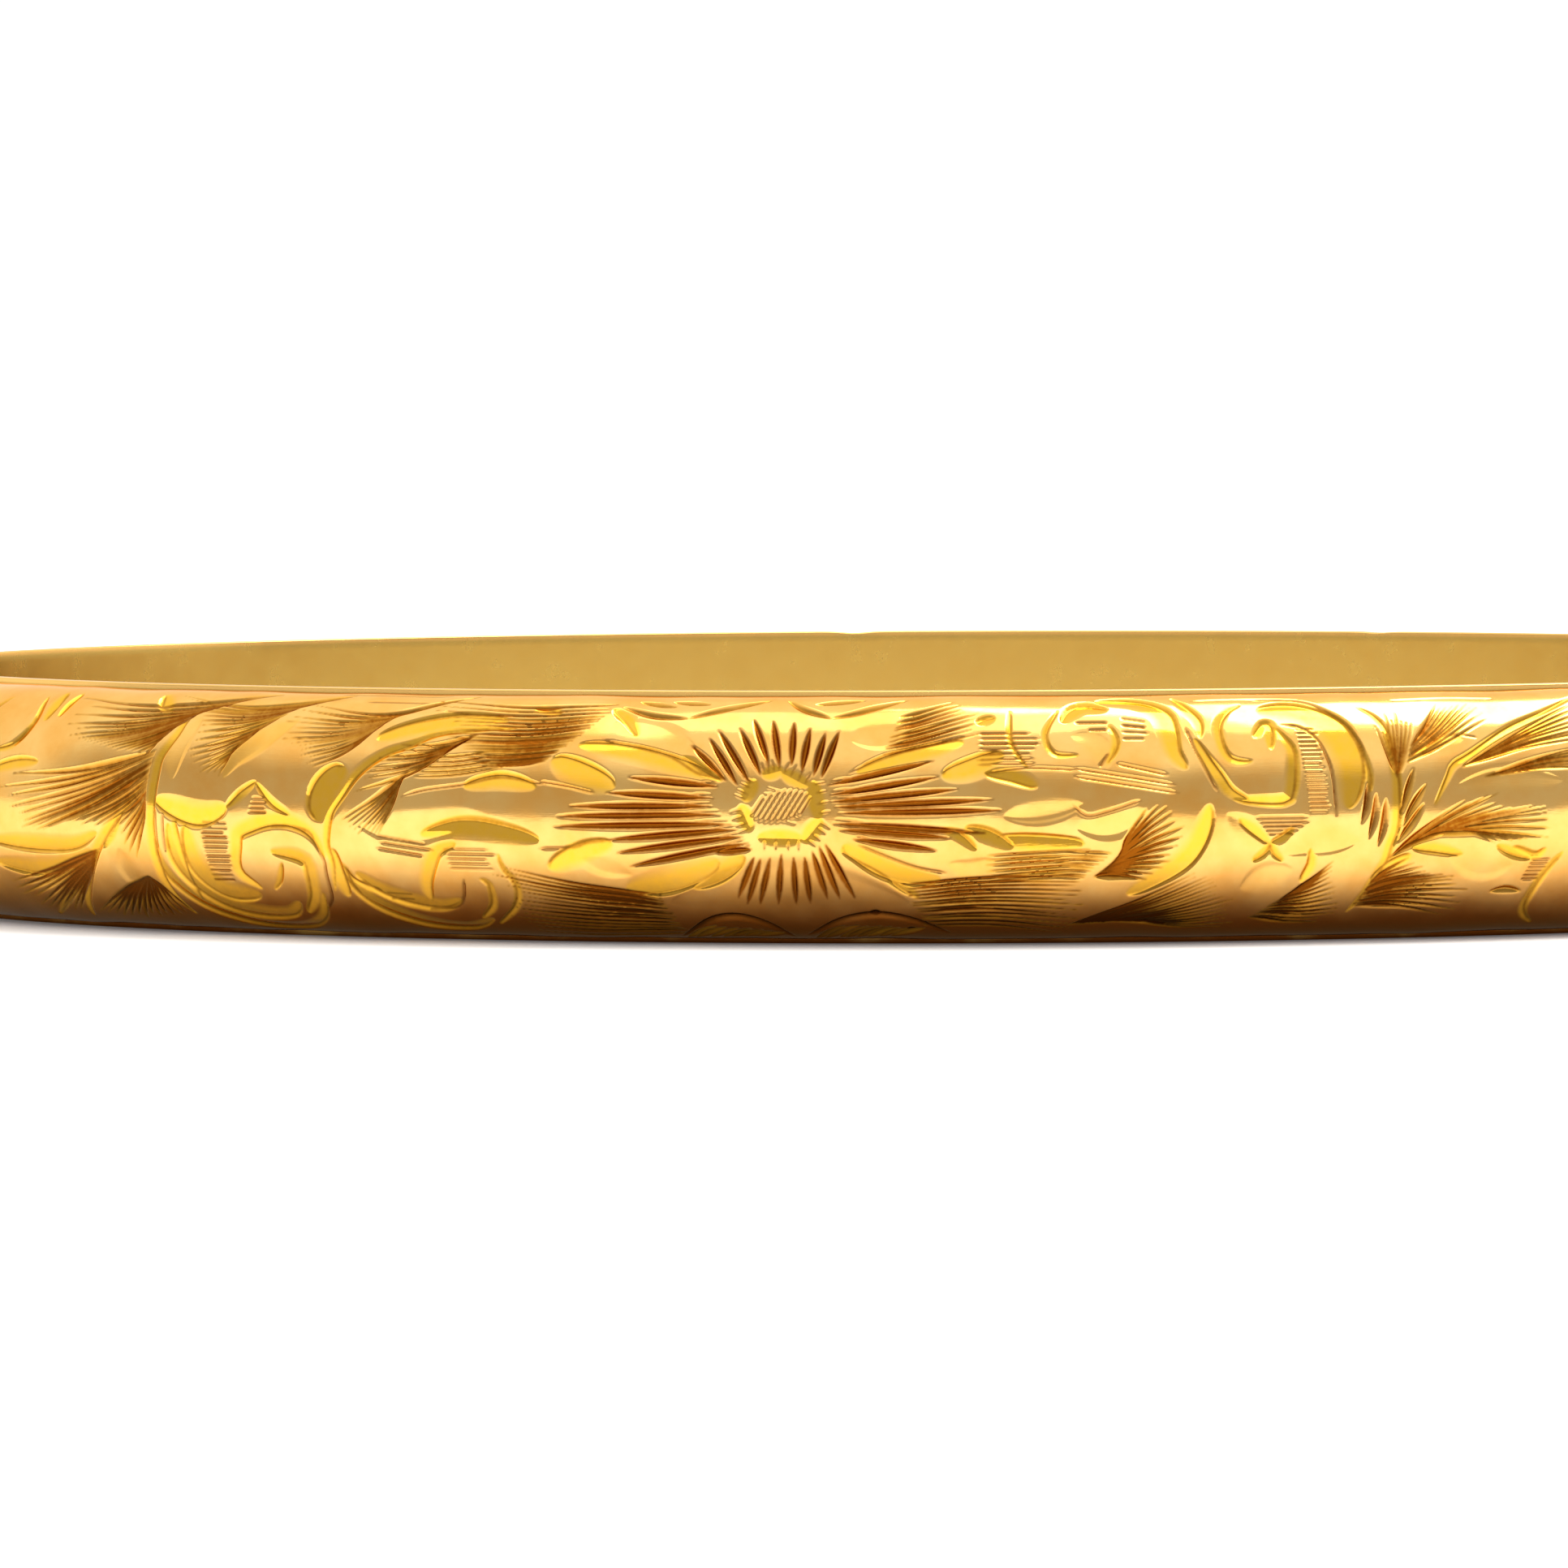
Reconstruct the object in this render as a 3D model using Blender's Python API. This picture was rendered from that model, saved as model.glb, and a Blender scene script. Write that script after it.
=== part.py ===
"""A hollow, hinged oval bangle with a half-round outside and a flat lining.

Two half ovals meet in the plane y = 0. A five-knuckle hinge joins them at -X, and at +X a folded
spring tongue on the back half slides into a catch box in the front half. The bangle lies on the
rim of its lining: +Z is up, the front half is at -Y, and the origin is the centre of the bounding
box at the bottom. Sizes are in millimetres and become metres when a mesh is made.
"""

import math

import bmesh
import bpy
from mathutils import Matrix, Vector

MM = 0.001

# Oval and band
INNER_A = 28.5
INNER_B = 25.0
WIDTH = 6.35
THICKNESS = 2.8
LINER_WALL = 0.45
SHELL_WALL = 0.35
SHELL_EDGE_INSET = 0.10
SOLDER_GAP = 0.04
SEAM_GAP = 0.03
JOINT_GAP = 0.06

# Hinge at -X
BARREL_RADIUS = 0.85
BARREL_INSET = 0.60
SEAT_CLEARANCE = 0.04
BEARER_WALL = 0.25
BEARER_REACH = 1.15
KNUCKLE_NAMES = ("bottom", "lower", "middle", "upper", "top")
KNUCKLE_LENGTH = 0.72
KNUCKLE_PITCH = 0.76
KNUCKLE_EASE = 0.05
PIN_RADIUS = 0.35
PIN_CLEARANCE = 0.03
RIVET_RADIUS = 0.60
RIVET_HEIGHT = 0.16
SEAT_END_CLEARANCE = 0.06

# Clasp at +X. A depth is measured outwards from the inner face of the lining.
PLATE_LENGTH = 0.5
BOX_WALL = 0.18
BOX_INSIDE_LOW = 0.66
BOX_INSIDE_HIGH = 1.64
BOX_INSIDE_WIDTH = 2.6
BOX_END = 4.9
TONGUE_WIDTH = 2.44
LEAF_WALL = 0.22
BASE_LOW = 0.70
BASE_HIGH = 0.95
TONGUE_ROOT = 1.0
TONGUE_TIP = 4.5
FOLD_WALL = 0.22
FOLD_EASE = 0.05
FOLD_HIGH = 1.15
LEAF_START = 4.22
LEAF_START_LOW = 1.02
LEAF_END = 0.75
LEAF_END_LOW = 1.38
PUSH_NECK_WIDTH = 0.84
PUSH_NECK_NEAR = 0.95
PUSH_NECK_FAR = 1.60
PUSH_WIDTH = 2.2
PUSH_NEAR = 0.40
PUSH_FAR = 2.20
PUSH_LIFT = 0.30
PUSH_WALL = 0.32
NOTCH_WIDTH = 1.0
NOTCH_END = 1.8

# Facets
OVAL_STEPS = 40
DOME_STEPS = 12
ROUND_STEPS = 24
BOX_STEPS = 3
SMOOTH_ANGLE = math.radians(35)

# Worked out from the sizes above
MID_Z = WIDTH / 2
SHELL_FOOT = LINER_WALL + SEAM_GAP
DOME_HEIGHT = THICKNESS - SHELL_FOOT
DOME_HALF_WIDTH = MID_Z - SHELL_EDGE_INSET
HINGE_PROUD = BARREL_RADIUS - BARREL_INSET
PUSH_PROUD = PUSH_LIFT + PUSH_WALL
OVAL_X = (HINGE_PROUD - PUSH_PROUD) / 2
HINGE_X = OVAL_X - (INNER_A + THICKNESS - BARREL_INSET)
BARREL_LENGTH = KNUCKLE_PITCH * (len(KNUCKLE_NAMES) - 1) + KNUCKLE_LENGTH
SEAT_RADIUS = BARREL_RADIUS + SEAT_CLEARANCE
SEAT_HALF_LENGTH = BARREL_LENGTH / 2 + PIN_CLEARANCE + RIVET_HEIGHT + SEAT_END_CLEARANCE
JOINT_ANGLE = math.asin(JOINT_GAP / 2 / INNER_B)
LINER_X = OVAL_X + INNER_A
FOLD_REACH = TONGUE_TIP - FOLD_WALL
FOLD_DEPTH = LEAF_START_LOW + LEAF_WALL / 2
FRONT = -1
BACK = 1


def gold(name, colour, roughness):
    material = bpy.data.materials.new(name)
    material.use_nodes = True
    shader = material.node_tree.nodes["Principled BSDF"]
    shader.inputs["Base Color"].default_value = (*colour, 1.0)
    shader.inputs["Metallic"].default_value = 1.0
    shader.inputs["Roughness"].default_value = roughness
    return material


# --- Mesh helpers ---------------------------------------------------------------------------


def part(name, bm, material, parent=None):
    """Closes a bmesh made in millimetres into a named object, hung from its body's empty."""
    bmesh.ops.recalc_face_normals(bm, faces=bm.faces)
    mesh = bpy.data.meshes.new(name)
    bm.to_mesh(mesh)
    bm.free()
    mesh.transform(Matrix.Scale(MM, 4))
    mesh.shade_smooth()
    mesh.set_sharp_from_angle(angle=SMOOTH_ANGLE)
    mesh.materials.append(material)
    obj = bpy.data.objects.new(name, mesh)
    bpy.context.scene.collection.objects.link(obj)
    if parent:
        mesh.transform(Matrix.Translation(-parent.matrix_world.translation))
        obj.parent = parent
    return obj


def body_empty(name, location, parent=None):
    """An empty on a joint's axis, which carries the pieces of one moving body."""
    empty = bpy.data.objects.new(name, None)
    empty.empty_display_size = 3 * MM
    bpy.context.scene.collection.objects.link(empty)
    empty.location = Vector(location) * MM
    if parent:
        empty.location -= parent.matrix_world.translation
        empty.parent = parent
    bpy.context.view_layer.update()
    return empty


def sweep(rings):
    """A solid through equal rings of points, with a flat cap on the first and the last."""
    bm = bmesh.new()
    loops = [[bm.verts.new(point) for point in ring] for ring in rings]
    count = len(loops[0])
    for one, two in zip(loops, loops[1:]):
        for i in range(count):
            j = (i + 1) % count
            bm.faces.new((one[i], one[j], two[j], two[i]))
    bm.faces.new(loops[0])
    bm.faces.new(reversed(loops[-1]))
    return bm


def block(low, high):
    """A box between two corners."""
    size = [b - a for a, b in zip(low, high)]
    centre = [(a + b) / 2 for a, b in zip(low, high)]
    bm = bmesh.new()
    bmesh.ops.create_cube(bm, size=1.0)
    bmesh.ops.scale(bm, vec=size, verts=bm.verts)
    bmesh.ops.translate(bm, vec=centre, verts=bm.verts)
    return bm


def circle(centre, radius, z, stretch=1.0):
    """A level ring of points round a centre, stretched along Y on request."""
    points = []
    for step in range(ROUND_STEPS):
        angle = math.tau * step / ROUND_STEPS
        x = centre[0] + radius * math.cos(angle)
        points.append((x, centre[1] + stretch * radius * math.sin(angle), z))
    return points


def hinge_circle(radius, z):
    return circle((HINGE_X, 0.0), radius, z)


def hinge_ring(profile):
    """A ring about the hinge axis, from an outline of (radius, z) points."""
    bm = bmesh.new()
    loops = [[bm.verts.new(point) for point in hinge_circle(r, z)] for r, z in profile]
    for one, two in zip(loops, loops[1:] + loops[:1]):
        for i in range(ROUND_STEPS):
            j = (i + 1) % ROUND_STEPS
            bm.faces.new((one[i], one[j], two[j], two[i]))
    return bm


def hinge_cylinder(radius, half_length):
    """A solid cylinder about the hinge axis."""
    return sweep([hinge_circle(radius, MID_Z - half_length), hinge_circle(radius, MID_Z + half_length)])


def combine(target, operation, name, bm):
    """Cuts a part with a hidden tool, joins the tool to it, or keeps what they share."""
    tool = part(name, bm, target.data.materials[0])
    tool.hide_render = True
    tool.display_type = "WIRE"
    modifier = target.modifiers.new(name, "BOOLEAN")
    modifier.operation = operation
    modifier.solver = "EXACT"
    modifier.object = tool


def cut(target, name, bm):
    combine(target, "DIFFERENCE", name, bm)


# --- The oval and the band's section ---------------------------------------------------------


def oval_point(angle, depth):
    """Where a depth outwards from the lining's inner face lies at an angle round the oval."""
    across, along = INNER_B * math.cos(angle), INNER_A * math.sin(angle)
    length = math.hypot(across, along)
    x = OVAL_X + INNER_A * math.cos(angle) + depth * across / length
    y = INNER_B * math.sin(angle) + depth * along / length
    return x, y


def oval_ring(profile, angle):
    return [(*oval_point(angle, depth), z) for depth, z in profile]


def half_oval(profile, side):
    """A profile of (depth, z) points swept round the front or the back half."""
    first, last = JOINT_ANGLE, math.pi - JOINT_ANGLE
    angles = [side * (first + (last - first) * k / OVAL_STEPS) for k in range(OVAL_STEPS + 1)]
    return sweep([oval_ring(profile, angle) for angle in angles])


def end_piece(side, at_hinge, length):
    """A block that fills the hollow of one half for a short length from its end."""
    angles = [JOINT_ANGLE, JOINT_ANGLE + length / INNER_B]
    if at_hinge:
        angles = [math.pi - angle for angle in angles]
    return sweep([oval_ring(hollow_profile(), side * angle) for angle in angles])


def dome(inset):
    """The half-round outline, moved inwards by inset, from its lower foot to its upper foot."""
    points = []
    for k in range(DOME_STEPS + 1):
        turn = math.pi * k / DOME_STEPS - math.pi / 2
        depth = SHELL_FOOT + (DOME_HEIGHT - inset) * max(math.cos(turn), 0.0)
        points.append((depth, MID_Z + (DOME_HALF_WIDTH - inset) * math.sin(turn)))
    return points


def shell_profile():
    return dome(0.0) + dome(SHELL_WALL)[::-1]


def liner_profile():
    return [(0.0, 0.0), (LINER_WALL, 0.0), (LINER_WALL, WIDTH), (0.0, WIDTH)]


def hollow_profile():
    """What fills the hollow between the lining and the shell, with a solder gap all round."""
    return dome(SHELL_WALL + SOLDER_GAP)


# --- The two halves ---------------------------------------------------------------------------


def build_half(name, side, parent, outside, inside):
    """The domed shell and the flat lining of one half, and the plate that closes its clasp end."""
    shell = part(f"{name}_shell", half_oval(shell_profile(), side), outside, parent)
    cut(shell, f"{name}_seat_cutter", hinge_cylinder(SEAT_RADIUS, SEAT_HALF_LENGTH))
    part(f"{name}_liner", half_oval(liner_profile(), side), inside, parent)
    plate = part(f"{name}_clasp_plate", end_piece(side, False, PLATE_LENGTH), inside, parent)
    return shell, plate


# --- Hinge --------------------------------------------------------------------------------------


def build_hinge_end(name, side, material, parent):
    """The plate that closes the hinge end, and the trough through it that the barrel lies in."""
    outer = SEAT_RADIUS + BEARER_WALL
    plate = part(f"{name}_hinge_plate", end_piece(side, True, PLATE_LENGTH), material, parent)
    cut(plate, f"{name}_trough_cutter", hinge_cylinder(outer + SOLDER_GAP, SEAT_HALF_LENGTH))
    bearer = part(f"{name}_hinge_bearer", end_piece(side, True, BEARER_REACH), material, parent)
    low, high = MID_Z - SEAT_HALF_LENGTH + SOLDER_GAP, MID_Z + SEAT_HALF_LENGTH - SOLDER_GAP
    trough = [(SEAT_RADIUS, low), (outer, low), (outer, high), (SEAT_RADIUS, high)]
    combine(bearer, "INTERSECT", f"{name}_trough", hinge_ring(trough))


def build_knuckle(name, order, material, parent):
    """One tube of the barrel, counted from the bottom, with its outer corners eased."""
    low = MID_Z - BARREL_LENGTH / 2 + order * KNUCKLE_PITCH
    high = low + KNUCKLE_LENGTH
    bore = PIN_RADIUS + PIN_CLEARANCE
    profile = [
        (bore, low),
        (BARREL_RADIUS - KNUCKLE_EASE, low),
        (BARREL_RADIUS, low + KNUCKLE_EASE),
        (BARREL_RADIUS, high - KNUCKLE_EASE),
        (BARREL_RADIUS - KNUCKLE_EASE, high),
        (bore, high),
    ]
    part(name, hinge_ring(profile), material, parent)


def build_pin(material):
    """The pin, with both ends riveted over into low domes."""
    shoulder = BARREL_LENGTH / 2 + PIN_CLEARANCE
    half = [
        (PIN_RADIUS, shoulder),
        (RIVET_RADIUS, shoulder),
        (RIVET_RADIUS * 0.85, shoulder + RIVET_HEIGHT * 0.6),
        (RIVET_RADIUS * 0.45, shoulder + RIVET_HEIGHT),
    ]
    outline = [(r, -z) for r, z in reversed(half)] + half
    part("hinge_pin", sweep([hinge_circle(r, MID_Z + z) for r, z in outline]), material)


def build_hinge(material, back):
    """The front half carries the bottom, middle and top knuckles, and the back half the two between."""
    build_hinge_end("front", FRONT, material, None)
    build_hinge_end("back", BACK, material, back)
    for order, name in enumerate(KNUCKLE_NAMES):
        owner, parent = (("front", None), ("back", back))[order % 2]
        build_knuckle(f"{owner}_knuckle_{name}", order, material, parent)
    build_pin(material)


# --- Clasp --------------------------------------------------------------------------------------


def swung(depth, reach, z):
    """A point at a depth, a reach into the front half along its arc about the hinge, and a height."""
    radius = LINER_X + depth - HINGE_X
    angle = -reach / (LINER_X + THICKNESS / 2 - HINGE_X)
    return HINGE_X + radius * math.cos(angle), radius * math.sin(angle), z


def swung_bar(stations):
    """A bar as wide as the tongue along that arc, from (reach, low depth, high depth) stations."""
    low_z, high_z = MID_Z - TONGUE_WIDTH / 2, MID_Z + TONGUE_WIDTH / 2
    rings = []
    for reach, low, high in stations:
        corners = ((low, low_z), (high, low_z), (high, high_z), (low, high_z))
        rings.append([swung(depth, reach, z) for depth, z in corners])
    return sweep(rings)


def build_catch_box(material):
    """A strip folded into a channel behind the front plate, its seam open along the outer side."""
    half_in = BOX_INSIDE_WIDTH / 2
    half_out = half_in + BOX_WALL
    lip = NOTCH_WIDTH / 2
    outside = [(BOX_INSIDE_HIGH + BOX_WALL, lip), (BOX_INSIDE_HIGH + BOX_WALL, half_out)]
    outside.append((BOX_INSIDE_LOW - BOX_WALL, half_out))
    inside = [(BOX_INSIDE_LOW, half_in), (BOX_INSIDE_HIGH, half_in), (BOX_INSIDE_HIGH, lip)]
    upper = outside + [(depth, -width) for depth, width in reversed(outside)]
    lower = [(depth, -width) for depth, width in reversed(inside)] + inside
    start = JOINT_GAP / 2 + PLATE_LENGTH + SOLDER_GAP
    rings = []
    for k in range(BOX_STEPS + 1):
        reach = start + (BOX_END - start) * k / BOX_STEPS
        rings.append([swung(depth, reach, MID_Z + width) for depth, width in upper + lower])
    part("catch_box", sweep(rings), material)


def build_tongue(material, back):
    """The lower leaf, fixed through the back plate, turned up at its tip where the fold is."""
    straight = TONGUE_TIP - FOLD_WALL - FOLD_EASE
    stations = []
    for k in range(BOX_STEPS + 1):
        reach = -TONGUE_ROOT + (straight + TONGUE_ROOT) * k / BOX_STEPS
        stations.append((reach, BASE_LOW, BASE_HIGH))
    stations.append((TONGUE_TIP - FOLD_WALL, BASE_LOW, FOLD_HIGH))
    stations.append((TONGUE_TIP - FOLD_EASE, BASE_LOW, FOLD_HIGH))
    stations.append((TONGUE_TIP, BASE_LOW + FOLD_EASE, FOLD_HIGH - FOLD_EASE))
    part("tongue_base", swung_bar(stations), material, back)


def build_spring_leaf(material, spring):
    """The upper leaf, which rises from the fold towards the joint and carries the thumb push."""
    stations = []
    for k in range(BOX_STEPS + 1):
        share = k / BOX_STEPS
        reach = LEAF_START + (LEAF_END - LEAF_START) * share
        low = LEAF_START_LOW + (LEAF_END_LOW - LEAF_START_LOW) * share
        stations.append((reach, low, low + LEAF_WALL))
    part("spring_leaf", swung_bar(stations), material, spring)


def build_thumb_push(material, spring):
    """A neck that comes out through the notch, and a rounded oval pad just clear of the crown."""
    neck_low = LINER_X + LEAF_END_LOW + LEAF_WALL + SOLDER_GAP
    pad_low = LINER_X + THICKNESS + PUSH_LIFT
    low = (neck_low, -PUSH_NECK_FAR, MID_Z - PUSH_NECK_WIDTH / 2)
    high = (pad_low + PUSH_WALL / 2, -PUSH_NECK_NEAR, MID_Z + PUSH_NECK_WIDTH / 2)
    push = part("thumb_push", block(low, high), material, spring)
    centre_y = -(PUSH_FAR + PUSH_NEAR) / 2
    radius = PUSH_WIDTH / 2
    stretch = (PUSH_FAR - PUSH_NEAR) / PUSH_WIDTH
    rings = []
    for share, scale in ((0.0, 0.86), (0.3, 1.0), (0.7, 0.92), (1.0, 0.6)):
        level = circle((MID_Z, centre_y), radius * scale, pad_low + PUSH_WALL * share, stretch)
        rings.append([(depth, y, z) for z, y, depth in level])
    combine(push, "UNION", "thumb_push_pad", sweep(rings))


def cut_clasp(front_shell, front_plate, back_plate):
    """The keyhole for tongue and push in the front end, and the slot for the root in the back end."""
    half_notch = NOTCH_WIDTH / 2
    for target in (front_shell, front_plate):
        low = (LINER_X + BOX_INSIDE_LOW + BOX_WALL, -NOTCH_END, MID_Z - half_notch)
        high = (LINER_X + 2 * THICKNESS, PLATE_LENGTH, MID_Z + half_notch)
        cut(target, f"{target.name}_notch_cutter", block(low, high))
    half_slot = BOX_INSIDE_WIDTH / 2
    low = (LINER_X + BOX_INSIDE_LOW, -2 * PLATE_LENGTH, MID_Z - half_slot)
    high = (LINER_X + BOX_INSIDE_HIGH, PLATE_LENGTH, MID_Z + half_slot)
    cut(front_plate, "front_slot_cutter", block(low, high))
    half_root = TONGUE_WIDTH / 2 + SOLDER_GAP
    low = (LINER_X + BASE_LOW - SOLDER_GAP, -PLATE_LENGTH, MID_Z - half_root)
    high = (LINER_X + BASE_HIGH + SOLDER_GAP, 2 * PLATE_LENGTH, MID_Z + half_root)
    cut(back_plate, "back_slot_cutter", block(low, high))


def main():
    for obj in list(bpy.data.objects):
        bpy.data.objects.remove(obj)
    engraved = gold("engraved_gold", (0.86, 0.60, 0.25), 0.16)
    polished = gold("polished_gold", (0.86, 0.62, 0.27), 0.12)
    joint_gold = gold("joint_gold", (0.82, 0.58, 0.26), 0.22)
    back = body_empty("back_half", (HINGE_X, 0.0, MID_Z))
    spring = body_empty("thumb_spring", swung(FOLD_DEPTH, FOLD_REACH, MID_Z), back)
    front_shell, front_plate = build_half("front", FRONT, None, engraved, polished)
    _, back_plate = build_half("back", BACK, back, polished, polished)
    build_hinge(joint_gold, back)
    build_catch_box(joint_gold)
    build_tongue(joint_gold, back)
    build_spring_leaf(joint_gold, spring)
    build_thumb_push(polished, spring)
    cut_clasp(front_shell, front_plate, back_plate)


main()
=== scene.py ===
"""The looks of a hinged gold bangle: its engraved front, polished back, hinge, clasp and studio."""

import math

import bpy
import numpy as np
from mathutils import Matrix, Vector


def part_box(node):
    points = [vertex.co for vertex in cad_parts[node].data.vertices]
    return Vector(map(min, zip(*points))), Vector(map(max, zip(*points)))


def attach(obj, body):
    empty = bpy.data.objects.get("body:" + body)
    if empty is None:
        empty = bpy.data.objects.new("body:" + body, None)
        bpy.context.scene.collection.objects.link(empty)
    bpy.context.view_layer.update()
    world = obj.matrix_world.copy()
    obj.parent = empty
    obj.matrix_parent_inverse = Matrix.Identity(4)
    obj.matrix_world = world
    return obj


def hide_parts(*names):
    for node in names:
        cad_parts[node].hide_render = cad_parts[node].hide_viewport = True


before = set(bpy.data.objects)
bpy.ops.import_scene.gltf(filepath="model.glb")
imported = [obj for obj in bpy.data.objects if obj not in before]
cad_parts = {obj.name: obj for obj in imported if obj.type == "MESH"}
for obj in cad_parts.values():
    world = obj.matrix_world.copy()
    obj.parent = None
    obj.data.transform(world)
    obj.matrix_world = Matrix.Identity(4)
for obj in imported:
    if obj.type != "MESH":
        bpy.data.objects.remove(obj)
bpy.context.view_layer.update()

# --- Sizes, in millimetres. The bangle lies flat, and its front half faces -Y. ----------------

MM = 0.001
INNER_A = 28.5
INNER_B = 25.0
OVAL_X = -0.185
WIDTH = 6.35
MID_Z = WIDTH / 2
THICKNESS = 2.8
LINER_WALL = 0.45
LINER_ROUND = 0.04
SHELL_WALL = 0.35
SHELL_FOOT = 0.48
DOME_HEIGHT = 2.32
DOME_HALF_WIDTH = 3.075
JOINT_HALF_GAP = 0.03

# The hinge barrel's seat and the thumb push's notch, which the domes end at.
HINGE_X = -30.885
SEAT_RADIUS = 0.89
SEAT_HALF_LENGTH = 2.13
NOTCH_HALF_WIDTH = 0.5
NOTCH_END = 1.8
END_ZONE = 3.0

# Grid of the engraved dome: fine where the engraving is densest, coarser towards the ends.
FINE_REACH = 23.6
FINE_STEP = 0.026
SIDE_STEP = 0.06
ACROSS_STEP = 0.026
INSIDE_ROWS = 13
BACK_STEP = 0.25
BACK_ACROSS_STEP = 0.13
FRONT = -1
BACK = 1

# Depths that a graver leaves.
DEEPEST = 0.115
CUT_SHARE = 0.62
FACET_DEPTH = 0.10
FACET_SPREAD = 1.45
EDGE_WIDTH = 0.085
EDGE_DEPTH = 0.6 * EDGE_WIDTH
# The next five set painted shade and painted highlight, not depth: shade along a bright cut's deep edge,
# and how tones rise across a stroke and down a groove.
FACET_EDGE_SHADE = 0.8
TONE_RISE = 2.4
GROOVE_START = 0.45
GROOVE_RISE = 3.0
GROOVE_WALL = 0.52
STEEP_WIDTH = 0.075
FILL = 0.80
WIDEST = 0.26
HATCH_WIDTH = 0.085
ROOT_SCATTER = 0.3
LEAN_SCATTER = 0.25
PETAL_DEPTH = 0.05
NOTCH_LENGTH = 0.34
FINE_WIDTH = 0.08
RAY_WIDTH = 0.24
SIDE_RAY_WIDTH = 0.25
# Painted shade in the rays round the flower and in the pits.
RAY_SHADE = 1.25
PIT_SHADE = 2.0
FLOWER_Z = 3.57
SIDE_UNITS = (24.8, 32.2)
END_CUTS = ((1.0, 0.22), (0.985, 0.10))
PLAIN_END = 1.9
WAVE_DEPTH = 0.045
SWELL_DEPTH = 0.05
SAMPLE_STEP = 0.12


# --- The oval and its dome ---------------------------------------------------------------------


def oval_point(angle, depth):
    """X and Y at an angle round the oval, a depth out from the lining's inner face."""
    across = INNER_B * np.cos(angle)
    along = INNER_A * np.sin(angle)
    length = np.hypot(across, along)
    x = OVAL_X + INNER_A * np.cos(angle) + depth * across / length
    y = INNER_B * np.sin(angle) + depth * along / length
    return x, y


def running_length(*coordinates):
    """Length along a line of points, from its first point."""
    steps = np.sqrt(sum(np.diff(values) ** 2 for values in coordinates))
    return np.concatenate([[0.0], np.cumsum(steps)])


# Along the crown: s is the distance from the middle of the front, positive towards +X.
CROWN_ANGLE = np.linspace(-math.pi, 0.0, 6001)
CROWN_S = running_length(*oval_point(CROWN_ANGLE, THICKNESS))
CROWN_S = CROWN_S - CROWN_S[-1] / 2

# Across the dome: w is the distance from its ridge, positive upwards.
DOME_TILT = np.linspace(-math.pi / 2, math.pi / 2, 2001)
DOME_W = running_length(DOME_HEIGHT * np.cos(DOME_TILT), DOME_HALF_WIDTH * np.sin(DOME_TILT))
DOME_W = DOME_W - DOME_W[-1] / 2


def angle_at(s):
    """The angle round the oval at a distance along the crown."""
    return np.interp(s, CROWN_S, CROWN_ANGLE)


def tilt_at(w):
    """The tilt of the dome at a distance across it."""
    return np.interp(w, DOME_W, DOME_TILT)


def w_at_height(z):
    """The distance across the dome at a height above the ground."""
    tilt = np.arcsin(np.clip((np.asarray(z) - MID_Z) / DOME_HALF_WIDTH, -1.0, 1.0))
    return np.interp(tilt, DOME_TILT, DOME_W)


def end_angle(y, depth):
    """The angle between the joint line and a point of the oval a distance y from it."""
    return np.arcsin(y / (INNER_B + depth * INNER_A / INNER_B))


def hinge_end(depth, z):
    """How far from the joint line a sheet ends at the hinge, where the barrel's seat cuts it."""
    out = depth - (OVAL_X - INNER_A - HINGE_X)
    chord = np.sqrt(np.maximum(SEAT_RADIUS ** 2 - out ** 2, JOINT_HALF_GAP ** 2))
    return np.where(np.abs(z - MID_Z) < SEAT_HALF_LENGTH, chord, JOINT_HALF_GAP)


def clasp_end(depth, z):
    """How far from the joint line the front dome ends at the clasp, where the notch is."""
    return np.where(np.abs(z - MID_Z) < NOTCH_HALF_WIDTH, NOTCH_END, JOINT_HALF_GAP) + 0.0 * depth


def plain_end(depth, z):
    """How far from the joint line the back dome ends at the clasp."""
    return JOINT_HALF_GAP + 0.0 * depth * z


# --- Engraving: strokes of a graver, added up in a field of depths -------------------------------


def grid_line(half, fine_half, fine_step, side_step):
    """Positions from -half to half, closer together within fine_half."""
    fine = np.linspace(-fine_half, fine_half, int(2 * fine_half / fine_step) | 1)
    count = int((half - fine_half) / side_step)
    side = np.linspace(fine_half, half, count + 1)[1:]
    return np.concatenate([-side[::-1], fine, side])


COLUMN_S = grid_line(CROWN_S[-1], FINE_REACH, FINE_STEP, SIDE_STEP)
ROW_W = np.linspace(DOME_W[0], DOME_W[-1], int((DOME_W[-1] - DOME_W[0]) / ACROSS_STEP) | 1)
GRID = (len(ROW_W), len(COLUMN_S))

# At each grid point the depth of the cut in millimetres, and how much painted shade and painted highlight
# it has.
CUT = np.zeros(GRID)
PAINTED_SHADE = np.zeros(GRID)
PAINTED_HIGHLIGHT = np.zeros(GRID)

# The unevenness of a hand, drawn in the order in which the strokes are cut.
HAND = np.random.default_rng(11)

# The next four give a stroke's width along its length, from its root at 0 to its tip at 1.


def lens(u):
    return np.sin(math.pi * np.clip(u, 0.0, 1.0)) ** 0.7


def ribbon(u):
    return np.sin(math.pi * np.clip(u, 0.0, 1.0)) ** 0.4


def leaf(u):
    """Widening soon after the root, then running out to a long point."""
    u = np.clip(u, 0.0, 1.0)
    return np.minimum(1.0, (u / 0.25) ** 0.6) * np.minimum(1.0, ((1.0 - u) / 0.65) ** 0.8)


def line(u):
    return np.clip(np.minimum(u, 1.0 - u) / 0.10, 0.0, 1.0)


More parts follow.
